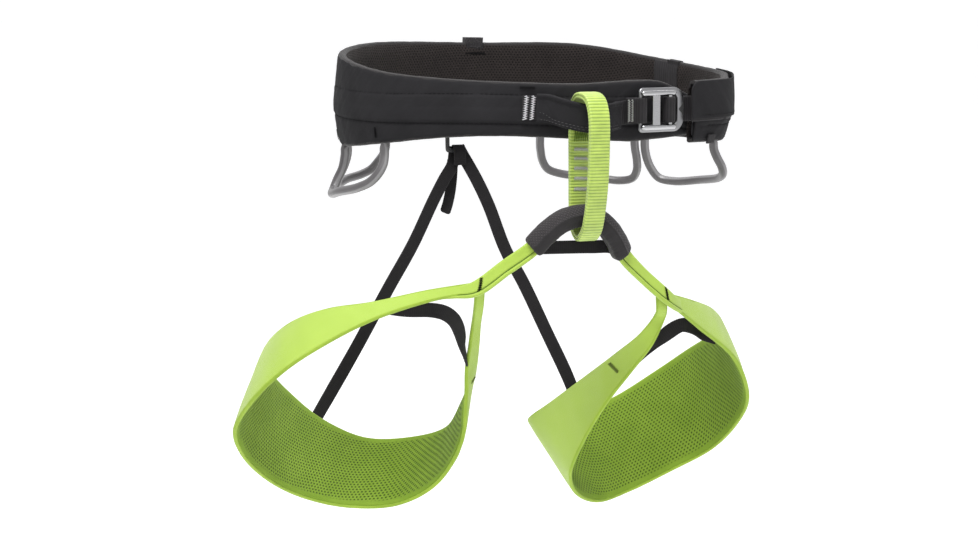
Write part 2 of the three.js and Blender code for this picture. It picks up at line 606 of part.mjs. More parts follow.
// --- Gear loops -----------------------------------------------------------------------------
// Stem angles on the ring and how far each end of the loop hangs below the belt.
const GEAR_LOOPS = [
  ['gear_loop_front_right', -66.6, -105, 27, 35],
  ['gear_loop_rear_right', -113, -143, 32, 24],
  ['gear_loop_front_left', 80, 124.2, 27, 37],
  ['gear_loop_rear_left', 128.3, 160.9, 38, 31],
];
const GEAR_IN = 4.2;          // the stems stand under the middle of the belt's thickness
const GEAR_TOP = GAP + GEAR_R;    // each stem's ball end under the belt, which lets the loop swing out
// along the loop from front stem to rear stem, share of the drop, distance outwards
const GEAR_PATH = [
  [0, 0, -GEAR_IN], [0, 0.1, -GEAR_IN], [0, 0.22, -GEAR_IN + 0.5], [-0.04, 0.66, 2],
  [-0.01, 0.9, 5], [0.12, 1, 6.5],
  [0.5, 1, 8], [0.79, 1, 6.5], [0.93, 0.85, 4.5], [0.985, 0.58, 1],
  [1, 0.22, -GEAR_IN + 0.5], [1, 0.1, -GEAR_IN],
  [1, 0, -GEAR_IN],
];
for (const [name, front, rear, frontDrop, rearDrop] of GEAR_LOOPS) {
  const points = GEAR_PATH.map(([f, share, out]) => {
    const angle = front + (rear - front) * f;
    const turn = angle > 38 ? angle - 360 : angle;
    const drop = THREE.MathUtils.lerp(frontDrop, rearDrop, f);
    const [, low] = edgeHeights(turn);
    return onBelt(turn, out, low).setZ(low - THREE.MathUtils.lerp(GEAR_TOP, drop, share));
  });
  add(name, 'gear', bar(points, GEAR_R, 30));
}

export default harness;
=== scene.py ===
import math
import bpy
import numpy as np
from mathutils import Matrix


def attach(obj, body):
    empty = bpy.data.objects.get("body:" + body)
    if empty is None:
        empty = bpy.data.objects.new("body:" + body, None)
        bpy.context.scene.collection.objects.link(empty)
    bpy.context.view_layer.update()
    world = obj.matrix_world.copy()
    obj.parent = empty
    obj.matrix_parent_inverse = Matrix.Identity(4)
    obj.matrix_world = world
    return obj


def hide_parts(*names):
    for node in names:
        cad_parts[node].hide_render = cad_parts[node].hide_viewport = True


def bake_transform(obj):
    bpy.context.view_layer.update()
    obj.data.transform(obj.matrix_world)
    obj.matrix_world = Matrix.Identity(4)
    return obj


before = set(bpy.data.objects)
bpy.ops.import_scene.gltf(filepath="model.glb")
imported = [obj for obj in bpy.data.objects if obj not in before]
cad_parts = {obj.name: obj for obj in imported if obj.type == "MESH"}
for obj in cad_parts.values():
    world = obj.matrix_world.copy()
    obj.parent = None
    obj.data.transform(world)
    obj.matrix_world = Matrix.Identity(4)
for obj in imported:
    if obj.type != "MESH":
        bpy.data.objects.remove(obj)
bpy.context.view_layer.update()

# Shapes are worked out in millimetres, as in the CAD, and turned into metres in piece().
MM = 0.001
UP = (0, 0, 1)


def metres(point):
    return tuple(np.array(point) * MM)


def spread(*values):
    """The values as arrays of one shared shape."""
    return np.broadcast_arrays(*(np.asarray(value, float) for value in values))


def add(name, data, spot=(0, 0, 0), axes=np.eye(3)):
    """A new object at a spot in metres, its own x, y and z along three directions."""
    obj = bpy.data.objects.new(name, data)
    bpy.context.scene.collection.objects.link(obj)
    rows = [[*(axis[k] for axis in axes), spot[k]] for k in range(3)]
    obj.matrix_world = Matrix(rows + [[0, 0, 0, 1]])
    return obj


# --- Camera, floor and light ------------------------------------------------------------------
CAMERA_AZIMUTH = -22
CAMERA_ELEVATION = 7
CAMERA_OFFSET = (-17.5, -126.06, 1617)    # right, up and back of the part's origin
LIGHT_AIM = (0, 0, -0.1)                  # metres
FLOOR_LEVEL = -0.45
FLOOR_REACH = 40


def directions(azimuth, elevation):
    """The right, up and back directions of a view."""
    a, e = math.radians(azimuth), math.radians(elevation)
    right = np.array([math.cos(a), math.sin(a), 0])
    back = np.array([math.sin(a) * math.cos(e), -math.cos(a) * math.cos(e), math.sin(e)])
    return right, np.cross(back, right), back


def place_camera():
    data = bpy.data.cameras.new("camera")
    data.lens = 85
    data.sensor_width = 36
    axes = directions(CAMERA_AZIMUTH, CAMERA_ELEVATION)
    spot = sum(offset * axis for offset, axis in zip(CAMERA_OFFSET, axes)) * MM
    bpy.context.scene.camera = add("camera", data, spot, axes)


def area_light(name, azimuth, elevation, distance, size, power):
    data = bpy.data.lights.new(name, "AREA")
    data.size = size
    data.energy = power
    axes = directions(azimuth, elevation)
    add(name, data, axes[2] * distance + np.array(LIGHT_AIM), axes)


def build_studio():
    scene = bpy.context.scene
    scene.view_settings.view_transform = "Standard"
    world = bpy.data.worlds.new("studio")
    scene.world = world
    world.use_nodes = True
    nodes, links = world.node_tree.nodes, world.node_tree.links
    nodes.clear()
    place = nodes.new("ShaderNodeTexCoord")
    height = nodes.new("ShaderNodeSeparateXYZ")
    links.new(place.outputs["Generated"], height.inputs[0])
    ramp = nodes.new("ShaderNodeValToRGB")
    links.new(height.outputs["Z"], ramp.inputs[0])
    low, high = ramp.color_ramp.elements
    low.position, low.color = 0.35, (1, 1, 1, 1)
    high.position, high.color = 0.7, (0.62, 0.62, 0.63, 1)
    background = nodes.new("ShaderNodeBackground")
    background.inputs["Strength"].default_value = 1.05
    links.new(ramp.outputs[0], background.inputs["Color"])
    output = nodes.new("ShaderNodeOutputWorld")
    links.new(background.outputs[0], output.inputs["Surface"])
    area_light("key", -30, 66, 1.4, 0.5, 26)
    area_light("rear", 150, 55, 1.8, 1.0, 8)
    mesh = bpy.data.meshes.new("floor")
    signs = ((-1, -1), (1, -1), (1, 1), (-1, 1))
    corners = [(x * FLOOR_REACH, y * FLOOR_REACH, FLOOR_LEVEL) for x, y in signs]
    mesh.from_pydata(corners, [], [(0, 1, 2, 3)])
    floor = add("floor", mesh)
    look = Look("floor_white", base_color=(0.96, 0.96, 0.96, 1), roughness=0.95,
                emission_color=(1, 1, 1, 1), emission_strength=0.26)
    floor.data.materials.append(look.material)


# --- Materials --------------------------------------------------------------------------------
# Patterns follow the pieces' own UV map, which holds millimetres along and around each piece.
class Value:
    """A value in a material's node tree; sums and products of it become maths nodes."""

    def __init__(self, look, socket):
        self.look = look
        self.socket = socket

    def __add__(self, other):
        return self.look.math("ADD", self, other)

    def __sub__(self, other):
        return self.look.math("SUBTRACT", self, other)

    def __mul__(self, other):
        return self.look.math("MULTIPLY", self, other)

    def __truediv__(self, other):
        return self.look.math("DIVIDE", self, other)

    def __pow__(self, power):
        return self.look.math("POWER", self, power)


class Look:
    """A Principled material whose patterns are built with small node helpers."""

    def __init__(self, name, **constants):
        self.material = bpy.data.materials.new(name)
        self.material.use_nodes = True
        self.tree = self.material.node_tree
        self.shader = self.tree.nodes["Principled BSDF"]
        self.grain = None
        for key, value in constants.items():
            socket = key.replace("_", " ").title().replace("Ior", "IOR")
            self.shader.inputs[socket].default_value = value

    def fill(self, socket, value):
        if isinstance(value, Value):
            self.tree.links.new(value.socket, socket)
        else:
            socket.default_value = value

    def node(self, kind, values=(), **settings):
        node = self.tree.nodes.new(kind)
        for key, value in settings.items():
            setattr(node, key, value)
        for socket, value in zip(node.inputs, values):
            self.fill(socket, value)
        return node

    def math(self, operation, *values):
        return Value(self, self.node("ShaderNodeMath", values, operation=operation).outputs[0])

    def ramp(self, value, low, high, to_low=0.0, to_high=1.0):
        values = (value, low, high, to_low, to_high)
        node = self.node("ShaderNodeMapRange", values, interpolation_type="SMOOTHSTEP")
        return Value(self, node.outputs[0])

    def mix(self, share, first, second):
        """A colour between two, each of them three numbers or a value."""
        node = self.node("ShaderNodeMix", data_type="RGBA")
        self.fill(node.inputs["Factor"], share)
        for socket, value in ((node.inputs[6], first), (node.inputs[7], second)):
            self.fill(socket, (*value, 1) if isinstance(value, tuple) else value)
        return Value(self, node.outputs[2])

    def plane(self):
        """Millimetres along and around the piece."""
        if self.grain is None:
            self.grain = Value(self, self.node("ShaderNodeUVMap", uv_map="Weave").outputs[0])
        split = self.node("ShaderNodeSeparateXYZ", (self.grain,))
        return [Value(self, socket) for socket in split.outputs[:2]]

    def edge(self):
        """Millimetres to the nearest edge of the piece."""
        return Value(self, self.node("ShaderNodeAttribute", attribute_name="edge").outputs["Fac"])

    def noise(self, *stretch, detail=3):
        self.plane()
        scaled = self.node("ShaderNodeVectorMath", (self.grain, (*stretch, 1)), operation="MULTIPLY")
        node = self.node("ShaderNodeTexNoise", noise_dimensions="2D")
        self.tree.links.new(scaled.outputs[0], node.inputs["Vector"])
        node.inputs["Scale"].default_value = 1
        node.inputs["Detail"].default_value = detail
        return Value(self, node.outputs["Fac"])

    def wave(self, value, pitch):
        return self.math("SINE", value * (2 * math.pi / pitch))

    def cords(self, value, pitch):
        return self.math("ABSOLUTE", self.math("SINE", value * (math.pi / pitch)))

    def finish(self, colour, height, depth):
        """Joins the colour and a relief of depth mm to the shader."""
        self.fill(self.shader.inputs["Base Color"], colour)
        node = self.node("ShaderNodeBump")
        node.inputs["Strength"].default_value = 1
        node.inputs["Distance"].default_value = depth * MM
        self.fill(node.inputs["Height"], height)
        self.tree.links.new(node.outputs[0], self.shader.inputs["Normal"])
        return self.material


def fabric(name, dark, light, pitch, depth, blotch=0.03, **constants):
    """A plain weave of pitch[0] by pitch[1] mm whose colour wanders between two shades."""
    look = Look(name, **constants)
    u, v = look.plane()
    weave = look.wave(u, pitch[0]) * look.wave(v, pitch[1])
    lint = look.noise(1.7, 1.1, detail=2)
    share = look.noise(blotch, blotch) * 0.9 + lint * 0.35 - 0.15 + weave * 0.16
    return look.finish(look.mix(share, dark, light), weave + lint * 0.8, depth)


YARN = 0.75                   # mm between a webbing's yarns


def webbing(name, dark, light, pitch, depth, worn, **constants):
    """Ribbed webbing: ribs across it every pitch mm, with painted shade in the narrow grooves between them
    and a painted highlight on their crests, fine yarns along it, and a worn, fuzzy edge.
    """
    look = Look(name, **constants)
    u, v = look.plane()
    rib, yarn = look.cords(u, pitch), look.cords(v, YARN)
    lint = look.noise(2.3, 0.9, detail=2)
    # Grooves between the ribs take the dark colour as painted shade, the rib crests the light one as painted
    # highlight.
    share = rib ** 0.5 * 0.7 + yarn * 0.12 + (look.noise(0.12, 0.12) - 0.42) * 0.5
    fuzz = look.ramp(look.edge(), 0.9, 0.1) * look.ramp(lint, 0.45, 0.62)
    tone = look.mix(fuzz * 0.5, look.mix(share, dark, light), worn)
    return look.finish(tone, rib * 0.8 + yarn * 0.35 + lint * 0.3, depth)


def spacer_mesh(name, hole, dark, light, pitch, radius, depth, margin=None, **constants):
    """Spacer mesh: a closed knit with staggered round holes, painted near-black inside as painted shade, left
    plain within margin of its edges.
    """
    look = Look(name, **constants)
    u, v = look.plane()

    def lattice(shift):
        """Millimetres to the nearest hole of one of the two square grids."""
        squares = [((look.math("FRACT", value / step + shift) - 0.5) * step) ** 2
                   for value, step in zip((u, v), pitch)]
        return look.math("SQRT", squares[0] + squares[1])

    nearest = look.math("MINIMUM", lattice(0.0), lattice(0.5))
    holes = look.ramp(nearest, radius * 1.35, radius * 0.65)
    if margin is not None:
        holes = holes * look.ramp(look.edge(), margin, margin + 2.5)
    knit = look.wave(u, 0.62) * look.wave(v, 0.5)
    tone = look.mix(look.noise(0.05, 0.05) * 0.9 + knit * 0.12, dark, light)
    # The holes get the hole colour, painted shade inside the openings; the bump also dips them.
    return look.finish(look.mix(holes * 0.85, tone, hole), knit * 0.12 - holes, depth)


def metal(name, colour, roughness, speck):
    """Metal with a fine blasted or brushed grain and faint handling marks."""
    look = Look(name, roughness=roughness, metallic=1.0)
    grain = look.noise(speck, speck, detail=4)
    marks = look.noise(0.25, 0.9, detail=5)
    look.fill(look.shader.inputs["Roughness"],
              look.ramp(marks, 0.2, 0.8, roughness * 0.8, roughness * 1.35))
    darker = tuple(channel * 0.72 for channel in colour)
    return look.finish(look.mix(grain * 0.4 + marks * 0.6, darker, colour), grain, 0.03)


def tube_plastic():
    """Extruded tube of the gear loops: satin, with drawn streaks along it and two pale lines along it that
    are painted highlights.
    """
    look = Look("gear_tube", roughness=0.38, coat_weight=0.15, coat_roughness=0.3)
    streaks = look.noise(0.03, 1.6, detail=4)
    share = streaks * 0.6 + look.noise(0.06, 0.1) * 0.4
    # Two pale lines along the tube: painted highlights, not ridges in its shape.
    ridge = look.ramp(look.wave(look.plane()[1], 10.05), 0.5, 0.98, 0.0, 0.5)
    tone = look.mix(share, (0.036, 0.033, 0.035), (0.1, 0.095, 0.098))
    return look.finish(look.mix(ridge, tone, (0.3, 0.295, 0.3)), streaks, 0.12)


def moulded(name, dark, light):
    """Moulded plastic with a fine spark-eroded grain."""
    look = Look(name, roughness=0.5)
    grain = look.noise(2.6, 2.6)
    return look.finish(look.mix(grain, dark, light), grain, 0.06)


def thread_of(name, dark, light, gloss=0.3):
    """Twisted sewing thread."""
    look = Look(name, roughness=0.7, specular_ior_level=gloss)
    u, v = look.plane()
    twist = look.wave(u + v * 0.5, 0.55)
    return look.finish(look.mix(twist * 0.5 + 0.5, dark, light), twist, 0.05)


def embossed_sleeve():
    """Padded sleeve's fabric: small raised dots on its upper faces, smooth on its front; the upper faces are
    painted lighter as painted light from above, the dots most of all as painted highlights.
    """
    look = Look("sleeve_fabric", roughness=0.7, sheen_weight=0.08, specular_ior_level=0.25)
    u, v = look.plane()
    top = look.edge()
    raised = look.ramp(look.wave(u, 2.2) * look.wave(v, 2.6), 0.1, 0.7) * top
    weave = look.wave(u, 0.5) * look.wave(v, 0.45)
    share = look.noise(0.15, 0.15) * 0.7 + weave * 0.1
    tone = look.mix(share, (0.009, 0.0077, 0.0084), (0.02, 0.018, 0.019))
    # Painted light: the upper faces mix towards a lighter shade, the raised dots most, as if lit from above.
    tone = look.mix(top * (raised * 0.6 + 0.35), tone, (0.036, 0.0315, 0.0335))
    return look.finish(tone, raised + weave * 0.08, 0.35)


# --- Curves and frames ------------------------------------------------------------------------
def unit(a):
    return a / np.linalg.norm(a, axis=-1, keepdims=True)


def ease(x, low, high):
    t = np.clip((np.asarray(x, float) - low) / (high - low), 0, 1)
    return t * t * (3 - 2 * t)


def wobble(x, length, seed=0.0):
    """A smooth wandering value between about -1 and 1, the same at each run."""
    x = np.asarray(x, float) * 2 * math.pi / length
    slow, middle, fast = x + seed, 1.73 * x + 2.1 * seed + 1, 2.9 * x + 3.7 * seed
    return (np.sin(slow) + 0.6 * np.sin(middle) + 0.4 * np.sin(fast)) / 2


CURVE_TABLE = 1500            # samples that measure a curve
SLOPE_STEP = 1e-4


class Curve:
    """A centripetal Catmull-Rom curve through points, the same as the CAD source's."""

    def __init__(self, points, closed=False):
        self.points = np.array(points, float)
        self.closed = closed
        table = np.linspace(0, 1, CURVE_TABLE)
        steps = np.linalg.norm(np.diff(self.at(table), axis=0), axis=1)
        self.table = table, np.concatenate([[0], np.cumsum(steps)])
        self.length = self.table[1][-1]

    def at(self, u):
        p, count = self.points, len(self.points)
        spans = count if self.closed else count - 1
        u = np.clip(np.atleast_1d(np.asarray(u, float)), 0, 1) * spans
        i = np.minimum(np.floor(u).astype(int), spans - 1)
        w = (u - i)[:, None]
        if self.closed:
            a, b, c, d = (p[(i + k) % count] for k in (-1, 0, 1, 2))
        else:
            longer = np.vstack([2 * p[0] - p[1], p, 2 * p[-1] - p[-2]])
            a, b, c, d = (longer[i + k] for k in range(4))
        gaps = [np.sum((y - x) ** 2, axis=1, keepdims=True) ** 0.25 for x, y in ((a, b), (b, c), (c, d))]
        middle = np.where(gaps[1] < 1e-4, 1, gaps[1])
        before, after = (np.where(g < 1e-4, middle, g) for g in (gaps[0], gaps[2]))
        start = ((b - a) / before - (c - a) / (before + middle) + (c - b) / middle) * middle
        end = ((c - b) / middle - (d - b) / (middle + after) + (d - c) / after) * middle
        square, cube = 3 * (c - b) - 2 * start - end, 2 * (b - c) + start + end
        return b + start * w + square * w**2 + cube * w**3

    def slope(self, u):
        u = np.atleast_1d(np.asarray(u, float))
        before, after = u - SLOPE_STEP, u + SLOPE_STEP
        if self.closed:
            return unit(self.at(after % 1) - self.at(before % 1))
        return unit(self.at(np.minimum(after, 1)) - self.at(np.maximum(before, 0)))

    def share(self, s):
        """The curve's parameter at distance s along it."""
        return np.interp(s, self.table[1], self.table[0])


def even(length, pitch, ends=()):
    """Distances along a piece every pitch mm, with extra ones close to both ends."""
    count = max(int(round(length / pitch)), 4)
    middle = np.linspace(0, length, count + 1)
    close = np.array([e for e in ends if e < length / 3])
    return np.unique(np.concatenate([middle, close, length - close]))


# --- Meshes -----------------------------------------------------------------------------------
FAR_FROM_EDGE = 5.0           # mm, for bodies that have no edge


def solid(rings, closed=False, edge=None, along=None):
    """Vertices, faces, UVs in mm and edge distances of a closed body through rings of points."""
    rings = np.asarray(rings, float)
    n, m = rings.shape[:2]
    last = n if closed else n - 1
    i, j = (index.ravel() for index in np.meshgrid(np.arange(last), np.arange(m), indexing="ij"))
    i2, j2 = (i + 1) % n, (j + 1) % m
    quads = np.stack([i * m + j, i2 * m + j, i2 * m + j2, i * m + j2], axis=1)
    ahead = np.roll(rings, -1, axis=0)
    steps = np.linalg.norm(ahead - rings, axis=2).mean(axis=1)
    if along is None:
        along = np.concatenate([[0], np.cumsum(steps)])
    else:
        along = np.append(along, along[-1] + steps[-1])
    gaps = np.linalg.norm(np.roll(rings, -1, axis=1) - rings, axis=2)
    around = np.concatenate([np.zeros((n, 1)), np.cumsum(gaps, axis=1)], axis=1)
    corners = [(along[i], around[i, j]), (along[i + 1], around[i2, j]),
               (along[i + 1], around[i2, j + 1]), (along[i], around[i, j + 1])]
    uv = np.stack([np.stack(c, axis=1) for c in corners], axis=1)
    verts = rings.reshape(-1, 3)
    caps = [] if closed else [list(range(m)), list(range(n * m - 1, (n - 1) * m - 1, -1))]
    centred = verts - verts.mean(axis=0)
    a, b, c, d = (centred[quads[:, k]] for k in range(4))
    volume = np.sum(a * np.cross(b, c)) + np.sum(a * np.cross(c, d))
    for cap in caps:
        points = centred[cap]
        volume += np.sum(points[0] * np.cross(points[1:-1], points[2:]).sum(axis=0))
    if volume < 0:
        quads, uv = quads[:, ::-1], uv[:, ::-1]
        caps = [cap[::-1] for cap in caps]
    faces = quads.tolist() + caps
    ends = [0, n - 1] if caps else []
    flat_uv = [uv.reshape(-1, 2)] + [np.stack([np.full(m, along[k]), around[k, :m]], axis=1) for k in ends]
    edges = np.broadcast_to(FAR_FROM_EDGE if edge is None else edge, (n, m)).ravel()
    return verts, faces, np.concatenate(flat_uv), edges


def piece(name, solids, material, body=None, nodes=()):
    """One object from one or more bodies, riding on a CAD body."""
    mesh = bpy.data.meshes.new(name)
    verts, faces, start = [], [], 0
    for points, polygons, _, _ in solids:
        verts.append(points)
        faces.extend([[k + start for k in polygon] for polygon in polygons])
        start += len(points)
    mesh.from_pydata((np.concatenate(verts) * MM).tolist(), [], faces)
    layer = mesh.uv_layers.new(name="Weave")
    layer.data.foreach_set("uv", np.concatenate([s[2] for s in solids]).astype(np.float32).ravel())
    edge = mesh.attributes.new("edge", "FLOAT", "POINT")
    edge.data.foreach_set("value", np.concatenate([s[3] for s in solids]).astype(np.float32))
    mesh.polygons.foreach_set("use_smooth", [len(face) == 4 for face in faces])
    mesh.materials.append(material)
    obj = add(name, mesh)
    if nodes:
        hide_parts(*nodes)
    if body:
        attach(obj, body)
    return obj


def flat_section(across, layers=1, rim=5):
    """A strap's section, as a ring: share across (-1 to 1), rim and depth in half thicknesses."""
    r = 1 / layers
    face = np.linspace(-1, 1, across + 1)
    arcs = []
    for k in range(layers):
        middle = 1 - r - 2 * r * k
        a = np.radians(np.linspace(90, -90, rim + 2))[0 if k == 0 else 1:]
        arcs.append(np.stack([r * np.cos(a), middle + r * np.sin(a)], axis=1))
    edge = np.concatenate(arcs)[1:-1]
    ones = np.ones(len(edge))
    core = np.concatenate([face, ones, face[::-1], -ones])
    beyond = np.concatenate([0 * face, edge[:, 0], 0 * face, -edge[::-1, 0]])
    depth = np.concatenate([np.ones(across + 1), edge[:, 1], -np.ones(across + 1), edge[::-1, 1]])
    return core, beyond, depth


def melted(s, length, radius):
    """How much of its thickness a strap has near its rounded ends."""
    inside = np.clip(np.minimum(s, length - s) / radius, 0, 1)
    return 0.25 + 0.75 * np.sqrt(1 - (1 - inside) ** 2)


class Ribbon:
    """A strap's centre line with its width direction at each point."""

    def __init__(self, points, sides=UP, closed=False):
        if np.ndim(sides) == 1:
            sides = [sides] * len(points)
        self.centre = Curve(points, closed)
        self.sides = Curve(unit(np.array(sides, float)), closed)
        self.length = self.centre.length

    def frame(self, s):
        u = self.centre.share(s)
        tangent = self.centre.slope(u)
        across = self.sides.at(u)
        across = unit(across - np.sum(across * tangent, axis=1, keepdims=True) * tangent)
        return self.centre.at(u), across, np.cross(tangent, across)

    def place(self, s, a, out):
        """Points at distance s along, a across and out from the middle of the thickness."""
        s, a, out = spread(np.atleast_1d(s), a, out)
        centre, across, away = self.frame(s)
        return centre + across * a[:, None] + away * out[:, None]

    def facing(self, s):
        """1 where the strap's out direction at s points to the harness's back, else -1."""
        return np.sign(self.frame(np.array([s]))[2][0][1])

    def body(self, width, thickness, pitch, relief=None, layers=1, across=10, first=0, last=None, corner=0):
        """A solid strap. relief(s, a, face) is how far its faces stand out at a point."""
        closed = self.centre.closed
        last = self.length if last is None else last
        ends = () if closed else (0.12, 0.35, 0.7, 1.1)
        s = first + even(last - first, pitch, ends)
        if closed:
            s = s[:-1]
        centre, side, away = self.frame(s)
        core, beyond, depth = flat_section(across, layers)
        wide = width(s) if callable(width) else np.full(len(s), float(width))
        if corner:
            short = corner - np.clip(np.minimum(s - first, last - s), 0, corner)
            wide = wide - 2 * (corner - np.sqrt(corner**2 - short**2))
        r = thickness / 2
        round_off = np.ones(len(s)) if closed else melted(s - first, last - first, r)
        a = core * (wide[:, None] / 2 - r) + beyond * r * round_off[:, None]
        b = depth * r * round_off[:, None]
        if relief:
            face = np.sign(depth) * (np.abs(depth) > 0.55)
            b = b + face * relief(s[:, None], a, face) * round_off[:, None]
        rings = centre[:, None] + side[:, None] * a[..., None] + away[:, None] * b[..., None]
        return solid(rings, closed, edge=wide[:, None] / 2 - np.abs(a), along=s)


def ribs(pitch, height):
    """Rounded ribs across a strap with narrow grooves between them."""
    return lambda s, a, face: height * (np.abs(np.sin(np.pi * s / pitch)) ** 0.6 - 0.6)


def tube(points, radius, sides=6, ball=False):
    """A round bar through points that are already close together."""
    points = np.asarray(points, float)
    tangents = unit(np.gradient(points, axis=0))
    normal = np.cross(tangents[0], (0.31, 0.52, 0.8))
    frames = []
    for tangent in tangents:
        normal = unit(normal - np.dot(normal, tangent) * tangent)
        frames.append((normal, np.cross(tangent, normal)))
    a = 2 * np.pi * np.arange(sides) / sides
    radii = [radius] * len(points)
    if callable(radius):
        radii = radius(np.arange(len(points)) / (len(points) - 1))

    def ring(k, turn=0.0):
        n, b = frames[k]
        spot = points[k] + tangents[k] * radii[k] * math.sin(turn)
        return spot + radii[k] * math.cos(turn) * (np.cos(a)[:, None] * n + np.sin(a)[:, None] * b)

    rings = [ring(k) for k in range(len(points))]
    if ball:
        turns = np.radians([26, 52, 78])
        rings = [ring(0, -t) for t in turns[::-1]] + rings + [ring(-1, t) for t in turns]
    return solid(rings)


# --- Stitching --------------------------------------------------------------------------------
STITCH_ALONG = np.array([0, 0.12, 0.3, 0.5, 0.7, 0.88, 1])
STITCH_LIFT = np.array([-0.3, 0.02, 0.16, 0.2, 0.16, 0.02, -0.3])


def stitch_row(place, first, last, stitch, gap, radius):
    """Separate stitches along place(s, lift), each dipping into the cloth at its ends."""
    bodies = []
    for k in range(int((last - first) / (stitch + gap))):
        s = first + k * (stitch + gap) + STITCH_ALONG * stitch
        bodies.append(tube(place(s, STITCH_LIFT), radius, sides=5))
    return bodies


def bartack(place, length, width, pitch=0.8, radius=0.24):
    """A dense zigzag along place(s, a, lift), s from 0 to length and a across the zigzag."""
    turns = int(length / pitch) * 2
    s, a = [], []
    for k in range(turns + 1):
        side = 1 if k % 2 else -1
        for share in (0.0, 0.5):
            s.append((k + share) * length / (turns + 0.5))
            a.append(side * width / 2 * (1 - 2 * share))
    s, a = np.array(s), np.array(a)
    return [tube(place(s, a, 0.15 + 0.05 * wobble(s, 3.1)), radius, sides=5)]


# --- Waist belt -------------------------------------------------------------------------------
RING_X, RING_A, RING_B = 16, 143, 108
MM_PER_DEGREE = 2.3           # along the belt, on average; short rows use their own spot's 2.1 to 2.25
BELT_BULGE = 2
GAP = 0.35
SHELL_T, WEB_T, FOAM_T, LINER_T = 1.2, 1.5, 3.2, 1.4
WAIST_WEB = 17
END_LIFT = 11
TONGUE, OUTER_END = 38, -331
BELT_IN = -(SHELL_T + WEB_T + FOAM_T + LINER_T + 3 * GAP)
STRAP_Z = -6.3
EDGES = np.array([
    [38, -2, -24], [30, 4, -25], [20, 12, -26], [10, 13, -27], [-5, 11.5, -24.5], [-27, 13, -22],
    [-45, 15, -23.5], [-65, 18.5, -28], [-87, 25, -32], [-110, 31, -33], [-140, 35.5, -33],
    [-180, 34, -32], [-210, 33, -32.5], [-240, 23, -33.5], [-265, 17, -34], [-300, 13.5, -31],
    [-331, 12, -29],
])


def edge_heights(angle):
    """The belt's upper and lower edge at each angle around the ring."""
    angle = np.asarray(angle, float)
    knots = EDGES[:, 0]
    i = np.clip(np.searchsorted(-knots, -angle, side="left") - 1, 0, len(EDGES) - 2)
    span = knots[i + 1] - knots[i]
    s = (angle - knots[i]) / span
    padded = np.vstack([EDGES[:1], EDGES, EDGES[-1:]])
    slopes = (padded[2:] - padded[:-2]) / (padded[2:, :1] - padded[:-2, :1])
    near, far = 2 * s**3 - 3 * s**2 + 1, 3 * s**2 - 2 * s**3
    leave, reach = (s**3 - 2 * s**2 + s) * span, (s**3 - s**2) * span
    return [near * EDGES[i, k] + leave * slopes[i, k] + far * EDGES[i + 1, k] + reach * slopes[i + 1, k]
            for k in (1, 2)]


def lean(angle, z):
    """How far the belt's outer face stands inside the ring at height z."""
    t = np.radians(angle)
    side = np.cos(t - math.radians(70)) ** 2
    lower = 3 + 2.2 * side * ease(np.sin(t), 0, 0.6)
    return np.where(z < -8, lower * ((-8 - z) / 25) ** 2, BELT_BULGE * ((z + 8) / 40) ** 2)


def on_belt(angle, out, z):
    """Points `out` outside the belt's outer face at an angle around the ring and a height."""
    angle, out, z = spread(angle, out, z)
    t = np.radians(angle)
    normal = unit(np.stack([np.sin(t) / RING_A, -np.cos(t) / RING_B], axis=-1))
    away = out + END_LIFT * ease(-angle, 294, 321) - lean(angle, z)
    return np.stack([RING_X + RING_A * np.sin(t) + away * normal[..., 0],
                     -RING_B * np.cos(t) + away * normal[..., 1], z], axis=-1)


def pinch(angle, z):
    """How much thinner the padding is close to the belt's edges."""
    top, bottom = edge_heights(angle)
    near = np.minimum(top - z, z - bottom)
    return 2.9 * (1 - np.clip(near / 10, 0, 1)) ** 2


BELT_STEP = 0.55              # degrees between the belt's stations
SMALL_STEP = 0.4


def from_top(offset):
    return lambda angle, high, low: high + offset


def from_bottom(offset):
    return lambda angle, high, low: low + offset


def level(z):
    return lambda angle, high, low: z + 0 * angle


def belt_panel(first, last, top, bottom, inside, outside, across=26, relief=None, step=BELT_STEP, end_r=1.0):
    """A layer on the belt from top to bottom, its faces at inside and outside from the outer face."""
    count = max(int(abs(last - first) / step), 4)
    angle = np.linspace(first, last, count + 1)
    tips = (last - first) / abs(last - first) * np.array([0.05, 0.15, 0.3])
    angle = np.concatenate([angle[:1], first + tips, angle[1:-1], last - tips[::-1], angle[-1:]])
    high, low = edge_heights(angle)
    zt, zb = top(angle, high, low), bottom(angle, high, low)
    core, beyond, depth = flat_section(across)
    r = (outside - inside) / 2
    reach = np.minimum(np.abs(angle - first), np.abs(angle - last)) * 2.2 / end_r
    round_off = 0.2 + 0.8 * np.sqrt(1 - (1 - np.clip(reach, 0, 1)) ** 2)
    half = (zt - zb)[:, None] / 2
    z = (zt + zb)[:, None] / 2 - (core * (half - r) + beyond * r * round_off[:, None])
    out = (outside + inside) / 2 + depth * r * round_off[:, None]
    a = np.broadcast_to(angle[:, None], z.shape)
    if relief:
        out = out + relief(a, z, depth, high[:, None], low[:, None])
    return solid(on_belt(a, out, z), edge=np.minimum(zt[:, None] - z, z - zb[:, None]))


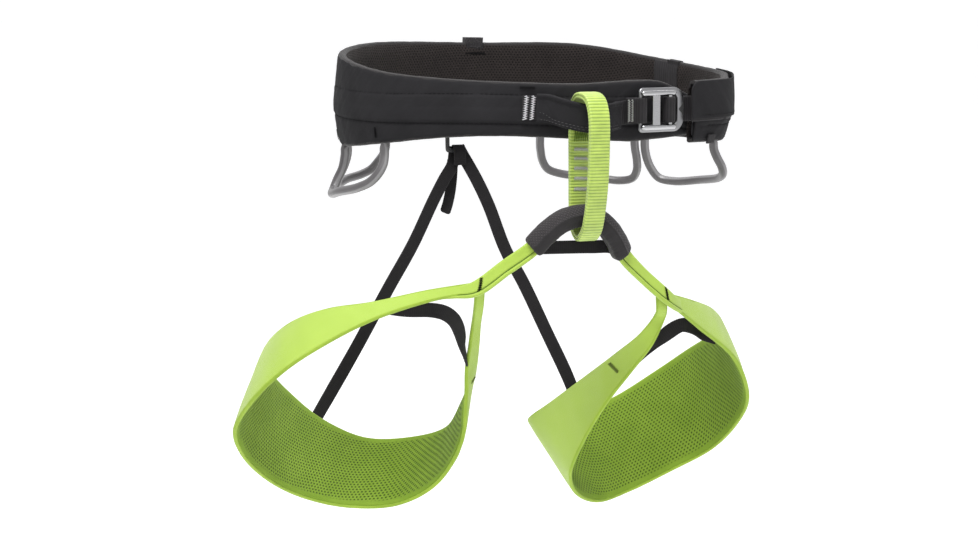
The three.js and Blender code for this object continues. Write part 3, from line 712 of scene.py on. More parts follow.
def band_bulge(angle, z, depth, high, low):
    """The webbing under the shell stands out as a band, with a sewn groove along each side."""
    off = np.abs(z - (high + low) / 2) - WAIST_WEB / 2
    below = ease(-(z - (high + low) / 2), -2, 2)
    front = ease(-np.abs(angle + 20), -75, -30)
    band = (0.5 + 0.35 * below) * ease(-off, -1.1, 1.1)
    groove = -(0.06 + (0.3 + 0.3 * front) * below) * np.exp(-((off - 1.2) / 0.9) ** 2)
    pucker = 0.12 * wobble(angle, 3.1, 0.4) * np.exp(-((off - 1.8) / 2.5) ** 2)
    along = angle * MM_PER_DEGREE
    soft = 0.28 * wobble(along + z * 0.4, 41, 0.7) + 0.16 * wobble(along - z * 1.1, 17, 2.0)
    ends = ease(np.abs(angle - TONGUE), 0.5, 4) * ease(np.abs(angle - OUTER_END), 0.5, 4)
    pad = 0.7 * np.sin(np.pi * np.clip((high - z) / (high - low), 0, 1))
    turn = -1.1 * (1 - np.clip(np.minimum(high - z, z - low) / 2.6, 0, 1)) ** 2
    raised = (band + groove + pucker + soft + pad - 0.25) * ends + turn
    return np.where(depth > -0.3, raised, 0) * ease(depth, -0.3, 0.6)


def liner_relief(angle, z, depth, high, low):
    soft = 0.3 * wobble(angle * MM_PER_DEGREE + z * 0.7, 37, 1.3)
    return pinch(angle, z) + np.where(depth < 0.3, soft, 0) * ease(-depth, -0.3, 0.6)


def rim(first, last, profile, at_top):
    """A rolled binding: a closed profile of (out, height) points along one edge of the belt."""
    shape = Curve([(x, y, 0) for x, y in profile], closed=True).at(np.linspace(0, 1, 41)[:-1])
    angle = np.linspace(first, last, int(abs(last - first) / BELT_STEP) + 1)
    edge = edge_heights(angle)[0 if at_top else 1]
    roll = 0.1 * wobble(angle * MM_PER_DEGREE, 23, 0.9)[:, None]
    out = shape[:, 0] * (1 + 0.02 * roll)
    z = edge[:, None] + (shape[:, 1] + roll) * (1 if at_top else -1)
    return solid(on_belt(angle[:, None], out, z))


RIM_FRONT = [
    (-1.2, -2.6), (-0.75, -1.5), (-0.85, -0.5), (-1.7, 0.2), (-3.0, 0.45), (-4.4, 0.3), (-5.5, -0.35),
    (-5.95, -1.6),
]
RIM_BACK = [(-3.2, -1.5), (-1.9, -2.2), (-1.6, -2.8)]
RIM_TOP = RIM_FRONT + [(-6.2, -3.0), (-6.4, -4.2), (-5.9, -4.5), (-5.2, -2.4)] + RIM_BACK
RIM_LOW = RIM_FRONT + [(-6.15, -3.0), (-5.5, -3.2), (-5.0, -2.2)] + RIM_BACK
FOAM_INSIDE, FOAM_OUTSIDE = -6.2, -1.6


def build_belt():
    shell = belt_panel(TONGUE, OUTER_END, from_top(-0.35), from_bottom(0.35), -SHELL_T, 0, 60, band_bulge)
    piece("belt_shell", [shell], BLACK_SHELL, "waist",
          ["belt_outer_shell", "belt_structural_webbing"])
    thinner = lambda a, z, depth, high, low: np.where(depth < 0, pinch(a, z), 0)
    foam = belt_panel(TONGUE - 1, OUTER_END + 1, from_top(-3), from_bottom(3), FOAM_INSIDE, FOAM_OUTSIDE,
                      relief=thinner)
    pad = piece("belt_foam_core", [foam], FOAM, "waist", ["belt_foam"])
    liner = belt_panel(TONGUE, OUTER_END, from_top(-1.4), from_bottom(1.4), BELT_IN, BELT_IN + LINER_T,
                       relief=liner_relief)
    piece("belt_liner", [liner], LINER, "waist", ["belt_mesh_liner"])
    for edge, profile in (("upper", RIM_TOP), ("lower", RIM_LOW)):
        binding = rim(TONGUE, OUTER_END, profile, edge == "upper")
        piece(f"belt_rim_{edge}", [binding], RIM, "waist", [f"belt_{edge}_binding"])


SLEEVE_FIRST, SLEEVE_LAST = -268, OUTER_END - 3
CORNER_R = 7.5


def sleeve_top(angle, high, low):
    d = np.clip(np.abs(angle - SLEEVE_LAST) * MM_PER_DEGREE, 0, CORNER_R)
    high = edge_heights(np.maximum(angle, OUTER_END))[0]
    return high + 0.35 - (CORNER_R - np.sqrt(CORNER_R**2 - (CORNER_R - d) ** 2))


def sleeve_relief(angle, z, depth, high, low):
    return np.where(depth > 0, 0.22 * wobble(angle * MM_PER_DEGREE + z, 19, 0.3) + 0.25, 0)


def build_belt_end():
    body = belt_panel(SLEEVE_FIRST, SLEEVE_LAST, sleeve_top, level(-13), 1.9, 3.0, relief=sleeve_relief,
                      end_r=1.6)
    piece("belt_end_sleeve_cloth", [body], BLACK_SHELL, "waist", ["belt_end_sleeve"])
    tail = belt_panel(-294, OUTER_END - 2.4, level(STRAP_Z + WAIST_WEB / 2), level(STRAP_Z - WAIST_WEB / 2),
                      0.35, 1.55)
    piece("adjuster_tail_web", [tail], BLACK_WEB, "waist", ["adjuster_tail"])
    hem = lambda s, lift: on_belt(SLEEVE_FIRST - s / 2.25, 3.25 + lift, -10.6)
    row = stitch_row(hem, 4, abs(SLEEVE_LAST - SLEEVE_FIRST) * 2.2 - 3, 2.2, 0.9, 0.16)
    piece("sleeve_hem_stitching", row, DARK_THREAD, "waist")
    tab = belt_panel(-321.6, -325.4, from_bottom(5), from_bottom(-1.4), 0.5, 1.9, 10, step=0.3)
    piece("belt_end_tab", [tab], BLACK_WEB, "waist")


# The back loop's three layers: height of its top and bottom from the belt's edge, faces, steps across.
BACK_FIRST, BACK_LAST = -174.5, -180.3
BACK_LAYERS = ((0.2, -20, 0.9, 2.1, 30), (0.4, -5.5, -7.4, -6.4, 12), (0.7, -0.6, -7.4, 2.1, 8))


def back_ribs(angle, z, depth, high, low):
    return np.where(depth > 0, 0.14 * np.sin(z * 2 * np.pi / 1.6), 0)


def tab_ribs(angle, z, depth, high, low):
    return np.where(depth < 0, -0.22 * np.abs(np.sin(angle * np.pi / 0.85)), 0) + pinch(angle, z)


def build_belt_trim():
    layers = []
    for k, (top, bottom, inside, outside, across) in enumerate(BACK_LAYERS):
        layers.append(belt_panel(BACK_FIRST, BACK_LAST, from_top(top), from_top(bottom), inside, outside,
                                 across, back_ribs if k == 0 else None, SMALL_STEP))
    piece("back_loop_webbing", layers, BLACK_WEB, "waist", ["belt_back_loop"])
    tab = belt_panel(-240, -251, from_top(-0.8), from_bottom(4), BELT_IN - 0.9, BELT_IN - 0.1,
                     relief=tab_ribs, step=0.12)
    cap = belt_panel(-245.5, -251.2, from_top(1.0), from_top(-2.5), -7.6, -0.6, 10, step=SMALL_STEP)
    piece("liner_end_tab_ribbed", [tab, cap], BLACK_WEB, "waist", ["liner_end_tab"])
    inner_tack = lambda s, a, lift: on_belt(-174 - s / 2.1, BELT_IN + 0.15 - lift, 26.5 + a)
    piece("back_bartack", bartack(inner_tack, 14, 2.2), DARK_THREAD, "waist")


def belt_row(offset):
    """A row of stitches along the belt, offset above the middle of its height."""
    def place(s, lift):
        angle = TONGUE - 2 - s / MM_PER_DEGREE
        high, low = edge_heights(angle)
        return on_belt(angle, 0.2 + lift, (high + low) / 2 + offset)
    return place


# The belt's upright bartacks above the gear loops' ends: angle, lower end's height and length.
GEAR_TACKS = ((-68.5, -22, 7), (-106, -27, 7), (-280, -28, 7), (-234, -29, 8))


def build_belt_stitching():
    span = (TONGUE - OUTER_END - 6) * MM_PER_DEGREE
    rows = []
    for side in (1, -1):
        rows += stitch_row(belt_row(side * (WAIST_WEB / 2 + 1.3)), 3, span, 2.2, 1.0, 0.15)
    piece("belt_stitching", rows, DARK_THREAD, "waist")
    tacks = []
    for angle, z, length in GEAR_TACKS:
        place = lambda s, a, lift: on_belt(angle + a / MM_PER_DEGREE, 0.4 + lift, z + s - 3)
        tacks += bartack(place, length, 2.2)
    front_tack = lambda s, a, lift: on_belt(-22 + s / 2.2, 0.9 + lift, 9.5 + a)
    tacks += bartack(front_tack, 9, 2.2)
    piece("belt_bartacks", tacks, DARK_THREAD, "waist")


# --- Tie-in strap -----------------------------------------------------------------------------
TIE_POINTS = [
    tuple(on_belt(-21.5, 1.8, -3.5)), tuple(on_belt(-18, 1.9, -3.5)), (-20, -109.4, -4), (-11, -118.6, -7.4),
    (1, -124.2, -10.2), (13, -123.6, -10), (23, -116.6, -9), (30.5, -110.2, -8), tuple(on_belt(9.5, 1.6, -7)),
]


def build_tie_in():
    strap = Ribbon(TIE_POINTS)
    piece("tie_in_webbing", [strap.body(WAIST_WEB, 2.3, 0.45, ribs(1.9, 0.3), layers=2)], BLACK_WEB,
          "waist", ["tie_in_strap"])
    outward = -strap.facing(strap.length / 2)
    cover_end = np.interp(6 / 8, *strap.centre.table) + 4
    path = np.linspace(9.5, cover_end, 16)
    cover = Ribbon(strap.place(path, 0, outward * (2.35 + 0 * path)))

    def rolled(s, a, face):
        roll = 1.0 * ease(a, 5.8, 7.6) * (1 - 0.15 * wobble(s, 14))
        curl = 0.9 * ease(s, cover.length - 6, cover.length - 1.5) * ease(a, 1, 7)
        hem = -0.3 * np.exp(-((a + 6.0) / 0.7) ** 2)
        return roll + curl + hem + 0.14 * wobble(s + a, 11, 0.8)

    piece("tie_in_cover", [cover.body(WAIST_WEB + 1.6, 2, 0.5, rolled, across=24)], BLACK_SHELL,
          "waist", ["tie_in_wear_sleeve"])
    face = -cover.facing(cover.length / 2)
    seam = lambda s, lift: cover.place(s, -6.0 + 3.2 * ease(s, 14, 1), face * (0.8 + lift))
    low_seam = lambda s, lift: cover.place(s, -7.7, face * (1.0 + lift))
    row = stitch_row(seam, 2, cover.length - 3, 1.3, 1.2, 0.2)
    row += stitch_row(low_seam, 3, cover.length - 3, 1.3, 1.2, 0.18)
    piece("cover_stitching", row, SEAM_THREAD, "waist")
    tacks = []
    for start in (1.6, 6.3):
        place = lambda s, a, lift: strap.place(start + a + s * 0.09, s - 7.8, outward * (1.3 + lift))
        tacks += bartack(place, 15.6, 3.0, 1.5, 0.27)
    piece("tie_in_bartacks", tacks, WHITE_THREAD, "waist")


# --- Buckle -----------------------------------------------------------------------------------
BUCKLE_OUT = 6.2
BUCKLE_L, BUCKLE_H, FRAME_T = 39, 29.6, 2.2
BUCKLE_START = on_belt(10.1, BUCKLE_OUT, STRAP_Z)
BUCKLE_END = on_belt(28.6, BUCKLE_OUT, STRAP_Z)
ALONG = unit(BUCKLE_END - BUCKLE_START)
OUTWARD = np.cross(ALONG, UP)


def on_buckle(u, w, n):
    """Points in the buckle's own frame: u along the belt, w up, n away from the belt."""
    u, w, n = spread(u, w, n)
    return BUCKLE_START + u[..., None] * ALONG + w[..., None] * np.array(UP) + n[..., None] * OUTWARD


def outline(left, right, half, small, wide, arc=10, straight=10):
    """A closed outline with small corners at the left and wide ones at the right."""
    corners = ((left + small, -half + small, small, 180), (right - wide, -half + wide, wide, 270),
               (right - wide, half - wide, wide, 0), (left + small, half - small, small, 90))
    arcs = []
    for x, y, r, start in corners:
        a = np.radians(start + np.linspace(0, 90, arc + 1))
        arcs.append(np.stack([x + r * np.cos(a), y + r * np.sin(a)], axis=1))
    filled = []
    for k, points in enumerate(arcs):
        ahead = arcs[(k + 1) % 4][0]
        shares = np.linspace(0, 1, straight + 2)[1:-1, None]
        filled += [points, points[-1] + (ahead - points[-1]) * shares]
    return np.concatenate(filled)


def flat_ring(outer, inner, thickness, dome=0.0):
    """A flat ring between two outlines, with rounded edges and a slightly domed face."""
    core, beyond, depth = flat_section(8, rim=7)
    across = inner - outer
    half = np.linalg.norm(across, axis=1) / 2
    across = unit(across)
    middle = (inner + outer) / 2
    r = thickness / 2
    a = core * (half[:, None] - r) + beyond * r
    flat = middle[:, None] + across[:, None] * a[..., None]
    n = r + depth * r + dome * (1 - core**2) * np.sign(depth) * (np.abs(depth) > 0.9)
    return solid(on_buckle(flat[..., 0], flat[..., 1], np.broadcast_to(n, a.shape)), closed=True)


def bar_on_buckle(path, width, thickness):
    """A flat bar along w (the webbing's width) or u, through points in the buckle's frame."""
    return Ribbon([on_buckle(*p) for p in path], ALONG).body(width, thickness, 1.0, across=6)


def strap_on_buckle(path, thickness):
    """Webbing as wide as the belt's, through (u, n) points in the buckle's frame."""
    ribbon = Ribbon([on_buckle(u, 0, n) for u, n in path])
    return ribbon.body(WAIST_WEB, thickness, 0.35, ribs(1.9, 0.22))


ROD_R = 1.75
ROD_N = FRAME_T + GAP + ROD_R
PLATE_U, WRAP_U = 12.6, 24.8  # where the plate's broad bar and its wrap bar are
TAB_PATH = [(-8, -2.5), (-2, -2.3), (1.6, -2.3), (4.6, -1.4), (5.5, 1), (4.6, 3.4), (1.9, 4.5), (-0.8, 3.7),
            (-1.9, 1.6), (-3.4, -0.2), (-8, -0.8)]
BIGHT_PATH = [(47, 0.4), (40.4, -0.6), (33, -1), (29, 0.6), (28, 4), (27.2, 6), (24.8, 6.8), (22.4, 6),
              (21.6, 4), (21.9, 0.6), (24.4, -1.8), (29, -2.7), (40.4, -2.7), (47, -2.0)]
WEDGE = [(34.3, 0, 0), (36.6, 2.6, 0), (38.3, 4.8, 0), (38.5, 0, 0), (38.3, -4.8, 0), (36.6, -2.6, 0)]
WEDGE_U = 36.9


def build_buckle():
    outer, inner = outline(0, BUCKLE_L, BUCKLE_H / 2, 3, 8.5), outline(2.6, 33.3, 10.2, 1.5, 3.5)
    ring = flat_ring(outer, inner, FRAME_T, 0.15)
    piece("buckle_frame_metal", [ring], BLASTED, "buckle", ["buckle_frame"])
    plate = [tube(on_buckle(np.linspace(1.6, 28, 40), w, ROD_N), ROD_R, 20, ball=True) for w in (11.3, -11.3)]
    for u, width in ((PLATE_U, 6.8), (WRAP_U, 3.2)):
        plate.append(bar_on_buckle([(u, w, ROD_N) for w in (-11.6, -5, 5, 11.6)], width, 1.9))
    for side in (1, -1):
        plate.append(bar_on_buckle([(PLATE_U, side * w, ROD_N) for w in (11.4, 10.4, 9.4)], 11, 1.6))
    piece("buckle_plate_metal", plate, POLISHED, "buckle", ["buckle_plate"])
    x, y = Curve(WEDGE, True).at(np.linspace(0, 1, 49)[:-1]).T[:2]
    wedge = [on_buckle(WEDGE_U + (x - WEDGE_U) * k, y * k, FRAME_T + n)
             for k, n in ((0.98, -0.2), (1.0, 0.1), (0.93, 0.19))]
    piece("buckle_recess_mark", [solid(wedge)], DARK_MARK, "buckle")
    tacks = []
    for u in (-7.3, -4.3):
        place = lambda s, a, lift: on_buckle(u + a, s - 7.2, -0.15 + lift)
        tacks += bartack(place, 14.4, 2.0, 1.5, 0.25)
    piece("buckle_side_bartacks", tacks, GREY_THREAD, "waist")
    piece("buckle_tab", [strap_on_buckle(TAB_PATH, 1)], BLACK_WEB, "waist",
          ["buckle_tab_webbing"])
    loop = piece("adjuster_bight_web", [strap_on_buckle(BIGHT_PATH, 1.1)], BLACK_WEB, None,
                 ["adjuster_bight"])
    metres(on_buckle(43, 0, 0))
    metres(on_buckle(34, 0, 0))
    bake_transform(loop)


# --- Belay loop -------------------------------------------------------------------------------
BELAY_WEB, BELAY_T = 15, 4.4
BELAY_PATH = [
    (-127, 5), (-136.5, 2.1), (-142, -7), (-143.2, -25), (-141.4, -50), (-137, -70), (-131.4, -83),
    (-123, -88.5), (-114.4, -83), (-111.8, -70), (-111.2, -45), (-111.2, -14), (-113, -1.8), (-118.6, 3.7),
]
BACK_STRAND_Y = -113.5
TACK_LEVELS = (-30.6, -36.6, -43.2, -49.8, -56.8)
RIB_PITCH = 2.1


def build_belay_loop():
    loop = Ribbon([(0, y, z) for y, z in BELAY_PATH], (1, 0, 0), closed=True)
    pitch = loop.length / round(loop.length / RIB_PITCH)

    def webbing_relief(s, a, face):
        height = loop.place(s.ravel(), 0, 0)[:, 2].reshape(s.shape)
        calm = 0.45 + 0.55 * ease(height, -72, -48)
        rib = 0.4 * calm * (np.abs(np.sin(np.pi * s / pitch)) ** 0.55 - 0.6)
        selvedge = -0.18 * np.exp(-((np.abs(a) - 5.9) / 0.45) ** 2)
        return rib + selvedge

    body = loop.body(BELAY_WEB + 1, BELAY_T - 0.3, pitch / 7, webbing_relief, layers=2, across=22)
    piece("belay_loop_webbing", [body], LIME_WEB, "belay", ["belay_loop"])
    tacks = []
    for height in TACK_LEVELS:
        place = lambda s, a, lift: np.stack([s - 4.4, BACK_STRAND_Y - lift, height + a - 0.05 * s], axis=-1)
        tacks += bartack(place, 9.6, 2.6, 0.95, 0.25)
    piece("belay_loop_bartacks", tacks, GREY_THREAD, "belay")
    block = lambda s, a, lift: np.stack([s - 4.4, BACK_STRAND_Y - lift, a - 21.5], axis=-1)
    piece("belay_loop_overlap_tack", bartack(block, 10, 8.5, 1.5, 0.27), GREEN_THREAD, "belay")


# --- Bridge between the leg loops -------------------------------------------------------------
BRIDGE = [
    (-69.5, -113.2, -118.8), (-54, -116, -106.5), (-37, -119.5, -94.5), (-29, -121.6, -86),
    (-18, -123.2, -77.6), (-7, -123.4, -74.3), (4, -123.4, -74.8), (15, -123, -81.6),
    (23.4, -121.4, -91.6), (29.5, -119, -101.5), (45, -117, -116.5), (60.5, -114, -130),
]
SLEEVE_SECTION = [(4.6, -6.3), (5.4, 4), (3, 7.4), (-1.5, 6.8), (-4.8, 2.6), (-5.6, -1.5), (-4, -6.4),
                  (0, -7)]
ELASTIC_W = 10


def build_bridge_sleeve():
    centre = Curve(BRIDGE)
    ends = np.array([2, 9]) / (len(BRIDGE) - 1)
    u = np.linspace(ends[0], ends[1], 150)
    p, tangent = centre.at(u), centre.slope(u)
    back = unit(np.array([0, 1, 0]) - tangent[:, 1:2] * tangent)
    rise = unit(np.cross(tangent, back))
    shape = Curve([(x, y, 0) for x, y in SLEEVE_SECTION], closed=True).at(np.linspace(0, 1, 57)[:-1])
    s = np.concatenate([[0], np.cumsum(np.linalg.norm(np.diff(p, axis=0), axis=1))])
    reach = np.clip(np.minimum(s, s[-1] - s) / 3.2, 0, 1)
    round_off = 0.66 + 0.34 * np.sqrt(1 - (1 - reach) ** 2)
    crease = 1 + 0.025 * wobble(s, 13, 0.5) * (1 - reach * 0.3)
    scale = (round_off * crease)[:, None, None]
    pucker = 0.18 * np.sin(s * 2 * np.pi / 2.6)[:, None] * np.exp(-((shape[:, 1] + 5) / 1.4) ** 2)
    ridge = 0.45 * np.exp(-((shape[:, 1] - 1.2) / 0.6) ** 2) * (shape[:, 0] < 0) * round_off[:, None]
    upright = rise[:, None] * (shape[:, 1] + pucker)[..., None]
    rings = p[:, None] + scale * (back[:, None] * shape[:, :1] + upright) - back[:, None] * ridge[..., None]
    cover = piece("bridge_sleeve_padded", [solid(rings, edge=ease(shape[:, 1], 0.9, 1.9))], SLEEVE,
                  "legs", ["bridge_sleeve"])
    cross = Ribbon([(-33, -110.8, -95), (-12, -110.8, -95.4), (10, -110.8, -96), (25, -110.8, -97),
                    (30, -111.2, -101)])
    piece("bridge_cross_elastic", [cross.body(ELASTIC_W - 1.2, 1.8, 1.0)], ELASTIC, "legs",
          ["bridge_cross_strap"])


# The bridge's webbing runs under the sleeve and on along both leg loops.
RIGHT_FOOT = [(-103, -106.5, -123.6), (-88, -110.8, -121.8), (-75, -114, -120)]
LEFT_FOOT = [(65.2, -114.8, -132.8), (78, -106.6, -140.2), (90, -98, -146.4)]
BRIDGE_SIDES = (
    [(0.24, 0.6, 0.75), (0.2, 0.45, 0.85), (0.05, 0.35, 0.95), (-0.3, 0.3, 0.95)] + [UP] * 8
    + [(0.3, 0.3, 0.9), (0.1, 0.3, 0.95), (0, 0.35, 0.93), (0, 0.4, 0.91)])
SEAM_A = -2.3                 # the lengthwise seam's place across the webbing
SEAM_END = 12                 # how far the seam stays from the webbing's sewn ends


def bridge_relief(s, a, face):
    groove = 0.5 * np.exp(-((a - SEAM_A) / 0.5) ** 2)
    return 0.4 * ease(-a, 2.4, 3.4) + 0.1 * wobble(s, 21) - groove


def build_bridge_webbing():
    ribbon = Ribbon(RIGHT_FOOT + BRIDGE[1:-1] + LEFT_FOOT, BRIDGE_SIDES)
    length, middle = ribbon.length, ribbon.length / 2
    face = -ribbon.facing(middle)
    taper = lambda s: 10.6 - 3.6 * ease(s, 36, 0) - 2.6 * ease(s, length - 34, length)
    tacks = {}
    halves = (("right", 0, middle, SEAM_END, 0.5, (-48, -117, -102.5), BRIDGE[0], 34, 0.9),
              ("left", middle + 0.1, length, 0.5, SEAM_END, (38, -118, -109), BRIDGE[-1], length - 37, -0.8))
    for side, first, last, seam_in, seam_out, start, end, spot, slant in halves:
        name, leg = f"bridge_webbing_{side}", f"leg_{side}"
        body = ribbon.body(taper, 2.4, 0.6, bridge_relief, across=22, first=first, last=last)
        half_strap = piece(name, [body], LIME, None, ["bridge_webbing"])
        seam = ribbon.place(np.arange(first + seam_in, last - seam_out, 0.8), SEAM_A, face * 0.85)
        line = piece(name + "_seam", [tube(seam, 0.36, ball=True)], GREEN_THREAD)
        for obj in (half_strap, line):
            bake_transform(obj)
        place = lambda s, a, lift: ribbon.place(spot + a + slant * (s - 3), s - 2.2, face * (1.25 + lift))
        tacks[leg] = bartack(place, 6.6, 2.8, 0.9, 0.26)
    for leg, tack in tacks.items():
        piece(leg + "_bartack", tack, DARK_THREAD, leg)


# --- Leg loops --------------------------------------------------------------------------------
RIGHT_LEG = [
    [(-73, -112, -115.5), (-74, -114, -122.5)], [(-103, -105, -120), (-105, -111, -127)],
    [(-140, -96, -127.5), (-142, -109, -137)], [(-164, -85, -131.5), (-175, -106, -152)],
    [(-181, -72, -139), (-199, -101, -167)], [(-191, -54, -151), (-216, -89, -186)],
    [(-192, -28, -168), (-223, -64, -211)], [(-182, -5, -183), (-213, -44, -232)],
    [(-160, 22, -204), (-187, -19, -257)], [(-129, 42, -229), (-156, -2, -275)],
    [(-92, 52, -247), (-120, 6, -286)], [(-60, 44, -247), (-87, 2, -286)],
    [(-43, 21, -237), (-65, -13, -271)], [(-43, -14, -210), (-54, -36, -238)],
    [(-45, -36, -192), (-57, -52, -203)], [(-49, -52, -178), (-62, -66, -180)],
    [(-54, -68, -164), (-64.5, -78, -163)], [(-59, -84, -148), (-67, -89, -147)],
    [(-64, -102, -133), (-71.5, -104, -132)], [(-66, -109, -120.5), (-73, -110.5, -121)],
]
LEFT_LEG = [
    [(64, -113, -129), (66, -113, -136.5)], [(93, -93, -138), (94, -102, -156)],
    [(125, -62, -150), (132, -85, -183)], [(146, -34, -164), (154, -64, -215)],
    [(154, -6, -177), (158, -43, -236)], [(151, 24, -192), (150, -18, -260)],
    [(135, 46, -211), (127, 1, -278)], [(105, 57, -231), (95, 6, -292)],
    [(71, 52, -239), (67, -2, -296)], [(36, 36, -241), (42, -18, -285)],
    [(19, 17, -234), (28, -38, -265)], [(26, -6, -219), (30, -56, -238)],
    [(39, -36, -197), (40, -72, -209)], [(51, -64, -176), (52, -84, -187)],
    [(58, -84, -161), (63, -95, -167)], [(62, -99, -146), (69, -102, -148)],
    [(59, -108, -140), (67.5, -107.5, -142)], [(57, -111.5, -130), (65, -111, -132)],
]


class Band:
    """A leg loop's band between its upper and lower edge."""

    def __init__(self, stations, turn, pitch=1.3):
        upper, lower = (Curve([pair[k] for pair in stations]) for k in (0, 1))
        middle = Curve([(np.array(a) + np.array(b)) / 2 for a, b in stations])
        self.count = len(stations) - 1
        self.s = even(middle.length, pitch)
        u = middle.share(self.s)
        self.station = u * self.count
        top, bottom = upper.at(u), lower.at(u)
        self.middle = (top + bottom) / 2
        self.down = unit(bottom - top)
        self.height = np.linalg.norm(bottom - top, axis=1)
        tangent = unit(upper.slope(u) + lower.slope(u))
        self.normal = turn * unit(np.cross(tangent, self.down))

    def layer(self, inset, inside, outside, across, relief=None, first=0, last=None, end_r=1.0):
        """A layer of the band; relief(s, share across, face, height) stands out from its faces."""
        keep = (self.station >= first) & (self.station <= (self.count if last is None else last))
        s, height = self.s[keep], self.height[keep]
        core, beyond, depth = flat_section(across)
        r = (outside - inside) / 2
        to_end = np.minimum(s - s[0], s[-1] - s)[:, None]
        round_off = 0.2 + 0.8 * np.sqrt(1 - (1 - np.clip(to_end / end_r, 0, 1)) ** 2)
        half = height[:, None] / 2 - inset
        a = core * (half - r) + beyond * r * round_off
        out = (inside + outside) / 2 + depth * r * round_off
        if relief:
            out = out + relief(s[:, None], a / (height[:, None] / 2), depth, height[:, None]) * round_off
        rings = (self.middle[keep][:, None] + self.down[keep][:, None] * a[..., None]
                 + self.normal[keep][:, None] * out[..., None])
        return solid(rings, edge=np.minimum(half - np.abs(a), to_end))

    def place(self, s, share, out):
        """Points on the band at distance s, share of the height (-1 top, 1 bottom) and out."""
        s, share, out = spread(s, share, out)
        pick = lambda values: np.stack([np.interp(s, self.s, values[:, k]) for k in range(3)], axis=1)
        height = np.interp(s, self.s, self.height)
        return (pick(self.middle) + unit(pick(self.down)) * (share * height / 2)[:, None]
                + unit(pick(self.normal)) * out[:, None])

    def rim(self, at_top, half_height, half_thick, offset):
        """A rolled hem along one edge."""
        a = 2 * np.pi * np.arange(16) / 16
        sign = -1 if at_top else 1
        along = sign * (self.height / 2 - half_height)[:, None] + half_height * np.cos(a)
        out = offset + half_thick * np.sin(a) + 0 * along
        across = self.down[:, None] * along[..., None] + self.normal[:, None] * out[..., None]
        return solid(self.middle[:, None] + across)


def crown(amount, soft, seed):
    """Padding between the hems: fullest in the middle of a wide band, flat in a narrow one."""
    def relief(s, share, face, height):
        full = amount * ease(height, 10, 34) * (1 - np.clip(np.abs(share), 0, 1) ** 3)
        wave = soft * wobble(s * 0.9 + share * 9, 43, seed) * ease(height, 8, 24)
        return np.where(face > 0, full + wave, -full * 0.8 + wave * 0.4) * ease(np.abs(face), 0.2, 0.9)
    return relief


def build_leg(side, stations, turn, lined, seed, tack_station, tack_length):
    """One leg loop; gives the bartack that holds the elastic's inner end to the band."""
    body = f"leg_{side}"
    band = Band(stations, turn)
    shell = band.layer(0.7, -0.2, 1.2, 26, crown(1.0, 0.35, seed))
    piece(f"{body}_outer", [shell], LIME, body, [f"{body}_shell"])
    liner = band.layer(1.3, -1.7, -0.45, 30, crown(1.6, 0.3, seed + 1), *lined, end_r=2.5)
    pad = piece(f"{body}_pad", [liner], LIME_MESH, body, [f"{body}_liner"])
    for edge in ("upper", "lower"):
        piece(f"{body}_{edge}_hem", [band.rim(edge == "upper", 0.95, 1.35, -0.1)], LIME_HEM, body,
              [f"{body}_{edge}_binding"])
    spot = np.interp(tack_station, band.station, band.s)
    half = np.interp(spot, band.s, band.height) / 2
    place = lambda s, a, lift: band.place(
        spot + a + 0.12 * s, (s - tack_length / 2) / half - 0.1, 1.9 + 0.4 * lift)
    return bartack(place, tack_length, 2.6, 0.9, 0.25)


# The elastics across the leg loops' front openings: points, and the width's direction at each.
LEG_ELASTICS = {
    "leg_right": (
        [(-132, -96, -131), (-116, -99.5, -133.3), (-100, -101, -134), (-90.5, -99, -136.5), (-82, -94, -142),
         (-75.5, -87, -150), (-71, -80.5, -158), (-67, -74, -166), (-62, -66.5, -175)],
        [(0.2, -0.5, 1), (0.2, -0.4, 1), (0, -0.2, 1), (0.3, -0.1, 1), (0.6, 0, 0.8), (0.9, 0.3, 0.5),
         (0.8, 0.6, 0.3), (0.5, 0.85, 0.1), (0.4, 0.9, 0)]),
    "leg_left": (
        [(55, -62, -190), (63, -70, -182), (71, -77, -172), (81, -82, -161.5), (90, -84, -156.5),
         (100, -81, -158.5), (108.5, -78.5, -163), (115, -78.5, -166), (120.5, -80, -168)],
        [(0.7, 0.2, 0.7), (0.7, 0.2, 0.7), (0.6, 0.2, 0.7), (0.3, 0.1, 0.9), (0, 0, 1), (-0.3, 0, 1),
         (-0.5, 0, 0.9), (-0.5, -0.1, 0.9), (-0.5, -0.1, 0.9)]),
}


def build_leg_elastics():
    for leg, (points, sides) in LEG_ELASTICS.items():
        strap = Ribbon(points, sides).body(ELASTIC_W, 1.5, 0.8, ribs(1.4, 0.08))
        piece(f"{leg}_elastic_strap", [strap], ELASTIC, leg, [f"{leg}_elastic"])


# --- Rear risers ------------------------------------------------------------------------------
HOOK_Y, HOOK_Z, HOOK_T = 114.5, -34.5, 2.6
HOOK_W, HOOK_H, HOOK_BAR = 16, 26, 3.2
RISERS = {
    "riser_right": (
        [(0, 115.5, -43.5), (-1, 114.5, -50), (-3, 112.8, -57), (-11, 110, -68), (-20.5, 106, -82),
         (-40.5, 96, -113), (-64, 84, -143), (-95.6, 67, -184), (-119, 54.8, -213), (-132.3, 44.4, -227),
         (-141, 33.5, -234.5)],
        [(0.8, 0.1, -0.6)] * 9 + [(0.83, 0.3, -0.5), (0.83, 0.34, -0.44)]),
    "riser_left": (
        [(3, 115.5, -43.5), (6, 114.6, -49.5), (10, 112.8, -57), (16, 110, -69), (23.5, 106, -87),
         (33.5, 97, -120), (45, 88, -146), (57.5, 74, -181), (69.5, 61.5, -214), (77, 57, -236.5),
         (80, 48.5, -250)],
        [(0.9, 0.1, 0.4)] * 9 + [(0.94, 0.25, 0.2), (0.94, 0.35, 0)]),
}


